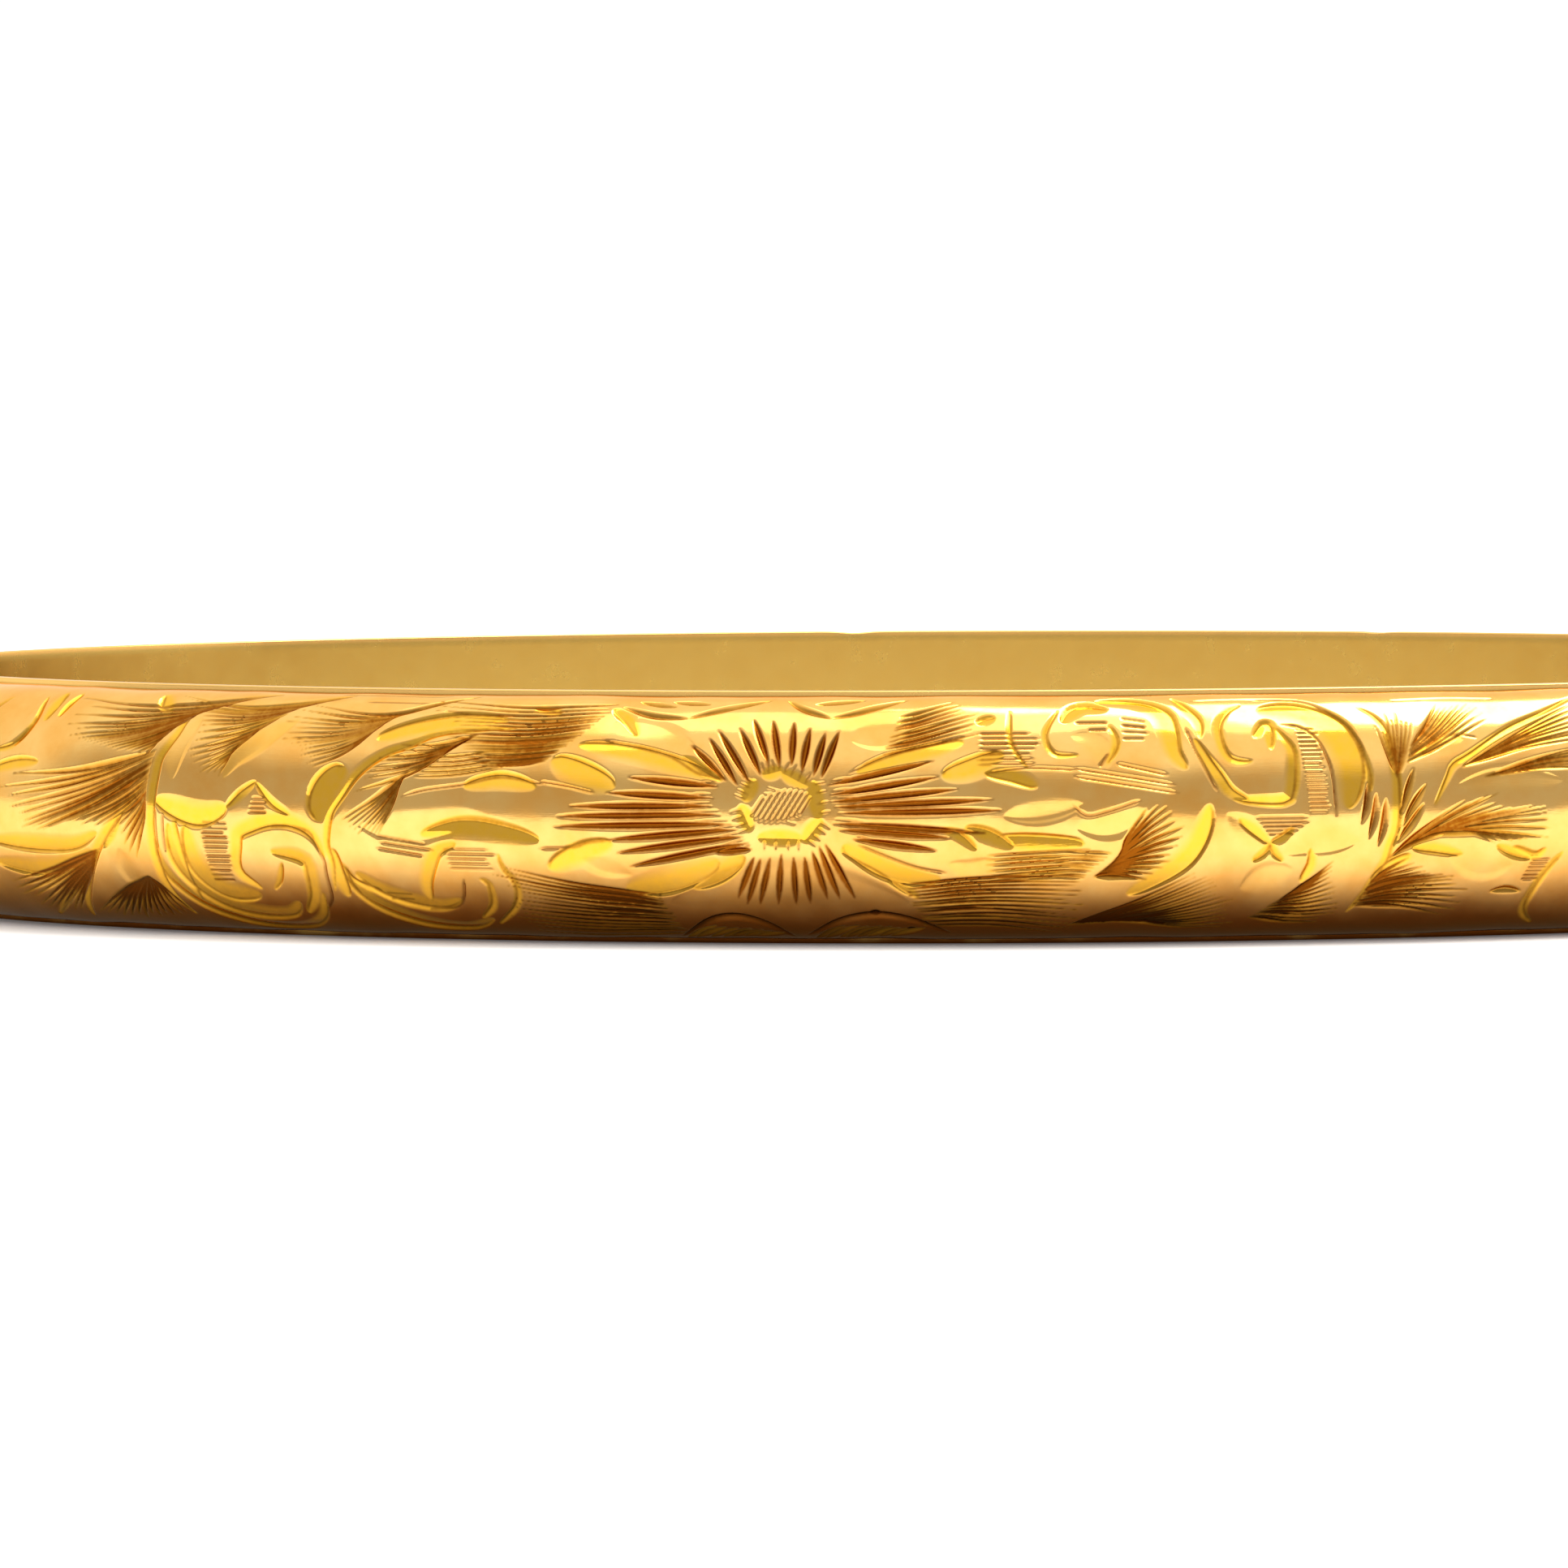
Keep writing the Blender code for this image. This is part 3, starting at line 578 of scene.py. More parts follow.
def left_stem():
    """The tall stem on the left and the large fans that spring from it."""
    swells([
        (1.0, 0.6, 0.20, [(-16.9, 5.6), (-17.4, 4.9), (-17.3, 4.0)]),
        (0.9, -0.5, 0.10, [(-19.2, 2.2), (-19.0, 1.6), (-18.6, 1.2)]),
    ])
    facets([
        (0.26, 0.6, [(-17.0, 5.95), (-17.4, 5.6), (-17.55, 5.17), (-17.85, 4.6), (-17.9, 4.15),
                     (-17.95, 3.6), (-18.0, 3.03), (-18.0, 2.52), (-17.95, 1.88), (-17.9, 1.42),
                     (-17.7, 0.9), (-17.4, 0.5)]),
        (0.26, 0.5, [(-18.3, 4.0), (-19.1, 3.1), (-19.9, 2.35), (-20.6, 1.5), (-21.2, 0.8),
                     (-21.6, 0.35)]),
        (0.40, 0.7, [(-19.95, 2.6), (-20.9, 2.3), (-22.2, 2.25), (-24.4, 2.3)]),
        (0.45, 0.7, [(-20.2, 2.1), (-21.4, 1.75), (-22.6, 1.6), (-24.4, 1.7)]),
        (0.22, 0.5, [(-20.0, 2.0), (-21.0, 1.3), (-22.0, 0.8), (-23.1, 0.35)]),
        (0.30, -0.4, [(-19.1, 2.95), (-19.4, 2.6), (-19.8, 2.2)]),
        (0.22, 0.4, [(-24.4, 4.6), (-23.6, 4.8), (-23.2, 5.4), (-23.5, 6.0)]),
        (0.34, 0.4, [(-22.9, 6.1), (-22.8, 5.4)]),
        (0.26, -0.4, [(-22.2, 6.1), (-22.3, 5.5)]),
        (0.40, -0.6, [(-18.9, 6.1), (-18.2, 5.75)]),
        (0.30, 0.5, [(-24.4, 4.1), (-23.3, 4.3), (-22.4, 4.35)]),
    ])
    spray([(-14.8, 6.18), (-16.6, 6.0), (-18.1, 5.1)],
          [(-22.4, 6.0), (-22.0, 5.25), (-21.4, 4.92), (-20.0, 4.78), (-18.8, 4.65), (-18.5, 4.5)], 18,
          0.14, leaf, 0.03)
    spray([(-12.4, 6.18), (-13.8, 5.95), (-15.5, 4.95)],
          [(-18.4, 6.1), (-17.6, 5.75), (-17.1, 5.3), (-16.95, 4.7), (-16.5, 4.25), (-15.75, 4.15)], 18,
          0.13, leaf, 0.04)
    spray([(-18.0, 4.75), (-18.15, 3.5)],
          [(-23.8, 3.97), (-23.5, 3.1), (-23.2, 2.7), (-22.25, 2.6), (-21.5, 2.7), (-20.4, 2.77),
           (-19.05, 2.83), (-18.95, 2.15), (-18.65, 1.87)], 24, 0.15, leaf, 0.03)
    spray([(-20.0, 2.15), (-20.4, 1.6)], [(-24.4, 1.1), (-23.4, 0.5), (-22.0, 0.4)], 11, 0.14, leaf, 0.02,
          1.6)
    spray([(-18.4, 1.5)], [(-21.2, 0.45), (-20.0, 0.35), (-18.6, 0.35), (-17.4, 0.5)], 14, 0.12, leaf,
          0.0, 1.6)


def right_scrolls():
    """From the flower to the right stem: two round scrolls, their ribbons and dark leaf fans."""
    swells([
        (0.9, 0.5, 0.20, [(11.2, 3.3), (11.7, 2.8), (12.2, 2.4)]),
        (1.2, -0.6, 0.15, [(12.6, 2.3), (13.4, 2.7), (14.6, 2.6)]),
        (1.0, 0.5, 0.10, [(11.6, 1.4), (12.3, 1.7), (12.9, 1.9)]),
        (1.0, -0.5, 0.20, [(7.4, 3.0), (8.3, 3.1), (9.2, 3.4)]),
        (0.9, 0.5, 0.20, [(7.3, 5.3), (8.0, 5.0), (8.2, 4.5)]),
    ])
    facets([
        (0.16, 0.4, [(7.0, 5.9), (6.65, 5.35), (6.85, 4.85), (7.5, 4.8)]),
        (0.20, 0.4, [(8.3, 5.55), (8.45, 5.1), (8.2, 4.6)]),
        (0.50, 0.7, [(8.0, 6.1), (9.0, 6.05), (9.65, 5.8), (9.8, 5.4), (9.9, 4.85), (10.2, 4.45)]),
        (0.30, 0.6, [(10.45, 5.2), (10.7, 4.7), (11.0, 4.25), (11.3, 3.85), (11.8, 3.6)]),
        (0.45, 0.5, [(7.1, 5.6), (7.6, 5.95), (8.3, 5.9)]),
        (0.26, 0.5, [(10.0, 6.15), (10.35, 5.9), (10.6, 5.6), (10.6, 5.2)]),
        (0.30, -0.4, [(11.35, 3.7), (11.8, 3.65), (12.65, 3.65), (12.85, 3.9), (12.95, 4.8), (12.75, 5.2),
                      (12.5, 5.5)]),
        (0.22, 0.5, [(11.8, 6.0), (11.4, 5.85), (11.1, 5.5), (11.15, 4.95), (11.35, 4.67), (11.65, 4.6),
                     (11.9, 4.62)]),
        (0.78, 0.8, [(12.2, 5.85), (13.2, 5.8), (14.0, 5.4), (14.3, 4.9), (14.4, 4.3), (14.3, 3.4)]),
        (0.30, 0.4, [(12.0, 5.2), (12.4, 5.5), (12.4, 4.9)]),
        (0.26, -0.7, [(11.5, 3.2), (12.0, 2.83), (12.3, 2.55)]),
        (0.22, 0.5, [(12.3, 2.55), (12.65, 2.7), (12.9, 2.95)]),
        (0.22, 0.4, [(12.3, 2.55), (12.1, 2.3), (11.85, 2.12)]),
        (0.20, -0.4, [(12.3, 2.55), (12.45, 2.3), (12.65, 2.1)]),
        (0.45, 0.85, [(10.75, 3.55), (10.6, 3.0), (10.35, 2.5), (10.0, 2.1), (9.3, 1.65), (8.7, 1.3)]),
        (0.22, -0.6, [(13.35, 2.4), (13.4, 2.0), (13.15, 1.55)]),
        (0.22, 0.3, [(14.4, 5.55), (14.65, 5.1), (14.8, 4.65), (14.9, 4.2), (14.9, 3.8)]),
    ])
    lines(0.11, [
        [(10.25, 5.5), (10.45, 4.95), (10.6, 4.65), (10.85, 4.1), (11.0, 3.82)],
        [(11.9, 6.1), (12.9, 6.1), (13.6, 6.03), (14.4, 5.6), (14.75, 5.1), (14.9, 4.5)],
        [(12.75, 5.5), (13.25, 5.45), (13.65, 5.15), (13.85, 4.7), (13.95, 4.2), (14.0, 3.2)],
        [(7.3, 3.6), (7.65, 3.3), (8.2, 3.4), (9.05, 3.68)],
        [(7.4, 5.6), (8.3, 5.6)], [(7.75, 5.42), (8.25, 5.43)], [(8.25, 4.87), (8.0, 4.5)],
        [(7.3, 4.5), (9.95, 4.05)], [(7.3, 4.3), (10.0, 3.85)], [(8.4, 4.6), (9.75, 4.3)],
    ])
    strokes(0.24, [
        [(14.85, 4.1), (14.8, 3.5), (14.65, 3.0)], [(15.05, 3.8), (15.0, 3.2), (14.85, 2.6)],
        [(15.3, 3.65), (15.25, 3.0), (15.1, 2.4)],
    ], 1.0, 0.3)
    hatch([(13.1, 5.4), (13.3, 3.35)], [(13.7, 5.4), (13.85, 3.35)], 20)
    hatch([(11.9, 3.2), (12.2, 2.8)], [(13.4, 3.2), (12.9, 2.8)], 5)
    hatch([(8.6, 5.7), (8.6, 5.2)], [(9.3, 5.6), (9.3, 5.2)], 4)
    spray([(8.53, 2.3), (8.25, 2.05), (7.85, 1.75)],
          [(9.23, 3.6), (9.92, 3.58), (10.0, 3.28), (10.25, 2.9), (10.1, 2.47), (9.9, 2.15), (9.3, 1.65)],
          13, 0.15, leaf, 0.03, 1.5)
    spray([(8.3, 2.35), (7.6, 1.7)], [(6.7, 2.4), (6.3, 1.75)], 8, 0.11, leaf)
    spray([(7.2, 0.5), (8.8, 0.6)], [(10.45, 1.85), (10.95, 1.6), (11.4, 1.2), (11.6, 0.75), (11.4, 0.4)],
          16, 0.12, leaf, -0.03, 1.7)
    spray([(12.9, 1.25), (11.9, 0.65)],
          [(14.1, 2.2), (14.0, 1.75), (14.3, 1.2), (14.4, 0.95), (14.0, 0.5)], 13, 0.14, leaf, -0.03, 1.7)


def right_stem():
    """The tall stem on the right and the fans that spring from it."""
    swells([
        (1.0, -0.5, 0.10, [(17.0, 2.2), (18.0, 1.9), (18.8, 1.9)]),
        (1.0, 0.5, 0.10, [(17.2, 3.9), (18.6, 4.0), (20.2, 4.0)]),
        (0.8, 0.5, 0.20, [(16.3, 4.9), (16.9, 5.0), (17.6, 5.1)]),
    ])
    strokes(0.26, [
        [(15.65, 3.15), (15.85, 3.7), (16.1, 4.4)], [(15.75, 2.9), (16.0, 3.4), (16.4, 4.0)],
        [(15.6, 2.5), (15.9, 2.9), (16.3, 3.5)], [(18.3, 1.2), (18.75, 1.25), (19.2, 1.2)],
    ])
    facets([
        (0.24, 0.5, [(14.9, 5.9), (15.25, 5.7), (15.5, 5.35), (15.55, 4.9), (15.6, 4.2), (15.6, 3.8),
                     (15.55, 2.9), (15.4, 2.45), (15.3, 2.05), (15.0, 1.5), (14.8, 1.15), (14.5, 0.75)]),
        (0.20, 0.4, [(16.6, 3.45), (17.0, 4.15), (17.2, 4.45), (17.7, 4.7), (18.9, 5.3), (20.1, 5.7),
                     (21.3, 6.05)]),
        (0.26, -0.6, [(16.0, 2.4), (16.7, 2.35), (17.4, 2.2)]),
        (0.30, 0.6, [(15.0, 1.5), (15.5, 1.9), (16.0, 2.2)]),
        (0.26, -0.4, [(18.3, 2.4), (18.8, 2.2), (19.3, 2.05)]),
        (0.22, 0.4, [(18.75, 2.35), (19.4, 2.1), (19.7, 2.3)]),
        (0.22, 0.4, [(20.2, 2.2), (19.9, 1.9), (19.6, 1.45), (19.4, 0.9), (19.5, 0.6), (19.9, 0.35)]),
    ])
    lines(0.07, [
        [(17.0, 5.15), (17.4, 5.2), (18.0, 5.1)],
        [(10.5, 6.08), (12.0, 6.12), (13.5, 6.10)], [(15.8, 6.05), (17.4, 6.08), (19.0, 6.05)],
    ])
    hatch([(19.3, 2.0), (19.1, 1.5)], [(19.95, 2.0), (19.6, 1.5)], 6)
    spray([(15.65, 4.15)], [(15.25, 5.5), (15.5, 5.75), (15.9, 5.8), (16.35, 5.65)], 9, 0.16, leaf)
    spray([(16.1, 4.95), (15.9, 4.5)], [(17.15, 5.95), (17.85, 5.95), (18.35, 5.9), (18.5, 5.6)], 10,
          0.16, leaf)
    spray([(17.4, 4.4)], [(21.6, 6.05), (21.6, 5.5), (21.4, 5.1)], 8, 0.17, leaf, 0.03)
    spray([(18.0, 4.15)], [(21.6, 4.9), (21.6, 4.3)], 7, 0.15, leaf, 0.03)
    spray([(15.35, 2.05), (16.7, 3.0)],
          [(17.5, 3.6), (18.3, 3.7), (19.0, 3.45), (19.95, 3.25), (19.9, 2.95), (19.75, 2.57),
           (18.4, 2.42)], 18, 0.14, leaf, 0.03)
    spray([(15.0, 1.5), (14.6, 0.9)],
          [(16.05, 2.2), (16.45, 1.85), (17.45, 1.55), (17.8, 1.25), (17.9, 1.0), (17.5, 0.6)], 14, 0.14,
          leaf, 0.03, 1.5)


def side_spray(start, turn):
    """One unit of the pattern towards an end: a stem, its three leaf fans and a scroll.
    Turn is 1 towards +X and -1 towards -X."""

    def put(points):
        return [(start + turn * s, z) for s, z in points]

    facets([
        (0.24, 0.5 * turn, put([(0.2, 5.95), (0.7, 5.5), (0.95, 4.8), (1.0, 3.9), (0.95, 2.9), (0.7, 1.9),
                                (0.2, 1.0)])),
        (0.50, 0.7 * turn, put([(3.6, 5.9), (5.0, 5.8), (5.9, 5.2), (6.2, 4.3), (6.0, 3.4), (5.2, 3.0)])),
        (0.26, 0.5 * turn, put([(5.2, 3.0), (4.6, 3.2), (4.1, 3.7)])),
        (0.60, 0.7 * turn, put([(4.5, 5.2), (5.0, 4.6), (5.0, 3.9)])),
        (0.35, 0.7 * turn, put([(1.3, 2.0), (2.2, 1.4), (3.4, 1.0), (4.6, 1.2)])),
        (0.30, -0.6 * turn, put([(4.7, 1.4), (5.6, 1.9), (6.4, 2.9)])),
        (0.24, 0.4 * turn, put([(6.4, 5.8), (6.9, 5.0), (7.0, 4.0), (6.9, 3.0), (6.6, 1.8), (6.0, 0.8)])),
    ])
    spray(put([(1.1, 4.2), (1.0, 3.2)]), put([(3.6, 4.9), (3.9, 4.2), (3.7, 3.4), (3.3, 2.7)]), 14, 0.15,
          leaf, 0.03)
    spray(put([(0.9, 4.8)]), put([(1.2, 6.0), (2.2, 6.0), (3.0, 5.7), (3.4, 5.3)]), 9, 0.13, leaf)
    spray(put([(1.0, 1.9), (0.6, 1.1)]), put([(2.9, 2.4), (3.0, 1.6), (2.7, 0.8), (2.0, 0.4)]), 11, 0.13,
          leaf)
    spray(put([(4.8, 1.0)]), put([(6.0, 1.4), (6.1, 0.8), (5.8, 0.4)]), 6, 0.11, leaf)
    hatch(put([(4.5, 5.4), (4.9, 3.6)]), put([(5.7, 5.2), (5.8, 3.5)]), 13, 0.09)
    hatch(put([(3.4, 2.4), (3.6, 1.5)]), put([(5.2, 2.6), (4.8, 1.6)]), 7, 0.09)


def engrave():
    """All strokes of the front, from the flower outwards, and the plain cuts that end it."""
    flower()
    petals()
    left_scrolls()
    left_stem()
    right_scrolls()
    right_stem()
    for start in SIDE_UNITS:
        side_spray(start, 1)
        side_spray(-start, -1)
    end = CROWN_S[-1] - END_ZONE - PLAIN_END
    for s in (-end, end):
        for share, width in END_CUTS:
            carve([(s * share, z) for z in (0.5, 3.2, 5.9)], width, 0.0, line)


# --- Meshes --------------------------------------------------------------------------------------


def turns(steps):
    """Equal steps round a circle."""
    return [math.tau * step / steps for step in range(steps)]


def mesh_object(name, points, faces, body, smooth_angle=None):
    """A named object on a body, from points in millimetres."""
    mesh = bpy.data.meshes.new(name)
    mesh.from_pydata(np.asarray(points) * MM, [], faces)
    mesh.validate()
    mesh.shade_smooth()
    if smooth_angle is not None:
        mesh.set_sharp_from_angle(angle=smooth_angle)
    piece = bpy.data.objects.new(name, mesh)
    bpy.context.scene.collection.objects.link(piece)
    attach(piece, body)
    return piece


def quads(first, rows, columns):
    """Faces of a grid of points numbered row by row from first."""
    corner = first + np.arange(rows - 1)[:, None] * columns + np.arange(columns - 1)[None, :]
    corner = corner.ravel()
    return np.stack([corner, corner + 1, corner + columns + 1, corner + columns], axis=1)


def zipper(one, two):
    """Triangles between two lines of points that run side by side but differ in number."""
    faces = []
    i = j = 0
    while i < len(one) - 1 or j < len(two) - 1:
        first = (i + 1) / (len(one) - 1)
        second = (j + 1) / (len(two) - 1)
        if j == len(two) - 1 or (i < len(one) - 1 and first <= second):
            faces.append((one[i], one[i + 1], two[j]))
            i += 1
        else:
            faces.append((one[i], two[j + 1], two[j]))
            j += 1
    return faces


def sheet_points(columns, w_rows, wall, sunk, side, last_end):
    """Points of one face of a dome sheet, with its columns drawn in to where the sheet ends."""
    tilt = tilt_at(w_rows)
    depth = SHELL_FOOT + (DOME_HEIGHT - wall) * np.cos(tilt)
    z = MID_Z + (DOME_HALF_WIDTH - wall) * np.sin(tilt)
    start = np.interp(-math.pi + end_angle(hinge_end(depth, z), depth), CROWN_ANGLE, CROWN_S)
    stop = np.interp(-end_angle(last_end(depth, z), depth), CROWN_ANGLE, CROWN_S)
    inner = CROWN_S[-1] - END_ZONE
    s = np.repeat(columns[None, :], len(w_rows), axis=0)
    left = columns < -inner
    right = columns > inner
    s[:, left] = -inner + (columns[left] + inner)[None, :] * ((-inner - start) / END_ZONE)[:, None]
    s[:, right] = inner + (columns[right] - inner)[None, :] * ((stop - inner) / END_ZONE)[:, None]
    angle = angle_at(s)
    # The dome's own normal, in depth and height, along which a cut goes in.
    out = np.cos(tilt) / DOME_HEIGHT
    up = np.sin(tilt) / DOME_HALF_WIDTH
    scale = np.hypot(out, up)
    deep = depth[:, None] - sunk * (out / scale)[:, None]
    high = z[:, None] - sunk * (up / scale)[:, None]
    x, y = oval_point(angle, deep)
    return np.stack([x, -side * y, high + 0.0 * x], axis=2)


def dome_sheet(name, body, side, columns, rows, sunk, last_end):
    """A half of the bangle's domed outer sheet, closed all round, with its cuts sunk in."""
    inside = np.linspace(DOME_W[0], DOME_W[-1], INSIDE_ROWS)
    outer = sheet_points(columns, rows, 0.0, sunk, side, last_end)
    inner = sheet_points(columns, inside, SHELL_WALL, 0.0, side, last_end)
    across, along = len(rows), len(columns)
    points = np.vstack([outer.reshape(-1, 3), inner.reshape(-1, 3)])
    first = across * along
    faces = quads(0, across, along).tolist()
    faces += quads(first, INSIDE_ROWS, along)[:, ::-1].tolist()
    outer_id = np.arange(first).reshape(across, along)
    inner_id = first + np.arange(INSIDE_ROWS * along).reshape(INSIDE_ROWS, along)
    for one, two in ((outer_id[0], inner_id[0]), (inner_id[-1], outer_id[-1])):
        faces += np.stack([two[:-1], two[1:], one[1:], one[:-1]], axis=1).tolist()
    faces += zipper(outer_id[:, 0].tolist(), inner_id[:, 0].tolist())
    faces += [face[::-1] for face in zipper(outer_id[:, -1].tolist(), inner_id[:, -1].tolist())]
    if side == BACK:
        faces = [face[::-1] for face in faces]
    return mesh_object(name, points, faces, body, math.radians(60))


def wave(s, w):
    """The slight unevenness of polished thin sheet, from 0 to 1."""
    waves = np.sin(1.9 * s + 0.7 * w) + np.sin(-1.1 * s + 2.3 * w + 1.0) + np.sin(0.63 * s - 1.4 * w + 2.0)
    ripples = np.sin(3.7 * s - 1.3 * w) + np.sin(2.9 * s + 3.1 * w + 0.5)
    return 0.5 + waves / 8.0 + ripples / 32.0


def lathe(name, body, x, y, profile, steps):
    """A turned piece round a vertical axis, from a closed outline of (radius, z)."""
    points = []
    for radius, z in profile:
        for turn in turns(steps):
            points.append((x + radius * math.cos(turn), y + radius * math.sin(turn), z))
    faces = []
    count = len(profile)
    for i in range(count):
        j = (i + 1) % count
        for step in range(steps):
            after = (step + 1) % steps
            faces.append((i * steps + step, i * steps + after, j * steps + after, j * steps + step))
    return mesh_object(name, points, faces, body, math.radians(50))


def rounded_section(low_depth, high_depth, low_z, high_z, radius, corner_steps=5, side_steps=1):
    """A closed outline of (depth, z) round a rectangle with rounded corners."""
    corners = ((high_depth - radius, low_z + radius, -0.5), (high_depth - radius, high_z - radius, 0.0),
               (low_depth + radius, high_z - radius, 0.5), (low_depth + radius, low_z + radius, 1.0))
    outline = []
    for depth, z, turn in corners:
        for step in range(corner_steps + 1):
            angle = math.pi * (turn + 0.5 * step / corner_steps)
            outline.append((depth + radius * math.cos(angle), z + radius * math.sin(angle)))
    closed = outline + outline[:1]
    filled = []
    for one, two in zip(closed, closed[1:]):
        count = side_steps if abs(two[1] - one[1]) > radius * 2 else 1
        for step in range(count):
            share = step / count
            filled.append((one[0] + share * (two[0] - one[0]), one[1] + share * (two[1] - one[1])))
    return filled


def swept(name, body, rings, smooth_angle=math.radians(40)):
    """A closed solid through equal rings of points, capped at both ends."""
    count = len(rings[0])
    points = [point for ring in rings for point in ring]
    faces = []
    for i in range(len(rings) - 1):
        for k in range(count):
            after = (k + 1) % count
            low, high = i * count, (i + 1) * count
            faces.append((low + k, low + after, high + after, high + k))
    faces.append(tuple(range(count - 1, -1, -1)))
    faces.append(tuple((len(rings) - 1) * count + k for k in range(count)))
    piece = mesh_object(name, points, faces, body, smooth_angle)
    turn_outwards(piece)
    return piece


def turn_outwards(piece):
    """Makes the faces of a closed mesh point out."""
    mesh = piece.data
    mesh.calc_loop_triangles()
    points = np.array([vertex.co for vertex in mesh.vertices])
    corners = np.array([triangle.vertices for triangle in mesh.loop_triangles])
    one, two, three = points[corners[:, 0]], points[corners[:, 1]], points[corners[:, 2]]
    if np.einsum("ij,ij->i", one, np.cross(two, three)).sum() < 0:
        mesh.flip_normals()


# --- Gold ----------------------------------------------------------------------------------------


class Nodes:
    """Short calls for building the node tree of a material or of the world."""

    def __init__(self, owner, shader="Principled BSDF", place="Object"):
        owner.use_nodes = True
        self.owner = owner
        self.tree = owner.node_tree
        self.shader = self.tree.nodes[shader]
        self.place = self.add("ShaderNodeTexCoord").outputs[place]

    def add(self, kind, **settings):
        node = self.tree.nodes.new(kind)
        for key, value in settings.items():
            if hasattr(node, key):
                setattr(node, key, value)
            else:
                self.feed(node.inputs[key.replace("_", " ")], value)
        return node

    def feed(self, socket, value):
        if isinstance(value, bpy.types.NodeSocket):
            self.tree.links.new(value, socket)
        else:
            socket.default_value = value

    def split(self):
        """The place as its X, Y and Z."""
        return self.add("ShaderNodeSeparateXYZ", Vector=self.place).outputs

    def stretched(self, scale):
        mapping = self.add("ShaderNodeMapping")
        self.feed(mapping.inputs["Vector"], self.place)
        mapping.inputs["Scale"].default_value = scale
        return mapping.outputs["Vector"]

    def noise(self, size, detail=3.0, roughness=0.5, vector=None):
        """Noise whose blotches are about size millimetres across."""
        node = self.add("ShaderNodeTexNoise")
        self.feed(node.inputs["Vector"], vector or self.place)
        node.inputs["Scale"].default_value = 1.0 / (size * MM)
        node.inputs["Detail"].default_value = detail
        node.inputs["Roughness"].default_value = roughness
        return node.outputs["Fac"]

    def spread(self, value, low, high, to_low, to_high, kind="LINEAR"):
        node = self.add("ShaderNodeMapRange", clamp=True, interpolation_type=kind)
        self.feed(node.inputs["Value"], value)
        numbers = {"From Min": low, "From Max": high, "To Min": to_low, "To Max": to_high}
        for key, number in numbers.items():
            node.inputs[key].default_value = number
        return node.outputs["Result"]

    def math(self, operation, one, two):
        node = self.add("ShaderNodeMath", operation=operation)
        self.feed(node.inputs[0], one)
        self.feed(node.inputs[1], two)
        return node.outputs["Value"]

    def mix(self, share, one, two):
        node = self.add("ShaderNodeMix", data_type="RGBA")
        self.feed(node.inputs[0], share)
        for socket, value in ((node.inputs[6], one), (node.inputs[7], two)):
            self.feed(socket, value if isinstance(value, bpy.types.NodeSocket) else (*value, 1.0))
        return node.outputs[2]

    def bump(self, height, distance, strength=1.0):
        node = self.add("ShaderNodeBump")
        node.inputs["Strength"].default_value = strength
        node.inputs["Distance"].default_value = distance * MM
        self.feed(node.inputs["Height"], height)
        return node.outputs["Normal"]


GOLD_LIGHT = (0.98, 0.58, 0.17)
GOLD_DEEP = (0.94, 0.47, 0.10)
GRAZING_GOLD = (1.0, 0.84, 0.60)
# The linings get a darker, greener copy of the gold: painted shade for the inside of the ring.
SHADED_LINING_LIGHT = (0.680, 0.465, 0.122)
SHADED_LINING_DEEP = (0.672, 0.456, 0.118)
JOINT_LIGHT = (0.92, 0.56, 0.20)
JOINT_DEEP = (0.86, 0.48, 0.14)
SPRING_LIGHT = (0.93, 0.60, 0.24)
SPRING_DEEP = (0.88, 0.52, 0.18)
# Painted colours: shade down in the cuts, deeper shade in the cuts towards the lower edge, the highlight
# on bright cuts, and shade along the lower edge.
CUT_SHADE_COLOUR = (0.28, 0.078, 0.004)
DEEP_CUT_SHADE_COLOUR = (0.035, 0.008, 0.001)
CUT_HIGHLIGHT_COLOUR = (0.98, 0.52, 0.035)
EDGE_SHADE_COLOUR = (0.17, 0.042, 0.003)

# Heights in millimetres between which the painted shade towards the lower edge fades out or the
# painted highlight on the upper rim sets in, and how far up and down the painted shade is ragged.
DOME_SHADE_HEIGHTS = (0.45, 2.45)
LINING_SHADE_HEIGHTS = (0.05, 0.55)
LIT_RIM_HEIGHTS = (6.20, 6.28)
RAGGED_BY = 0.2

# How strong the painted shade towards the lower edge is at its fullest, and how much of a bright cut's
# painted highlight it takes away.
EDGE_SHADE_SHARE = 0.98
EDGE_SHADE_ON_CUTS = 0.42

# About how many millimetres the blotches of each kind of unevenness are across.
TONE_SIZE = 1.6
POLISH_SIZE = 0.8
GRAIN_SIZE = 0.09
SCRATCH_SIZE = 0.05
MOTTLE_SIZE = 0.25
RAGGED_SIZE = 2.0

# Scratches run round the band. The grain's height is a share of theirs, and the last two are
# how much smoother a bright cut is, and how much rougher a dark one.
SCRATCH_STRETCH = (0.12, 0.12, 1.0)
GRAIN_SHARE = 0.6
BRIGHT_POLISH = 0.04
DARK_DULLNESS = 0.08


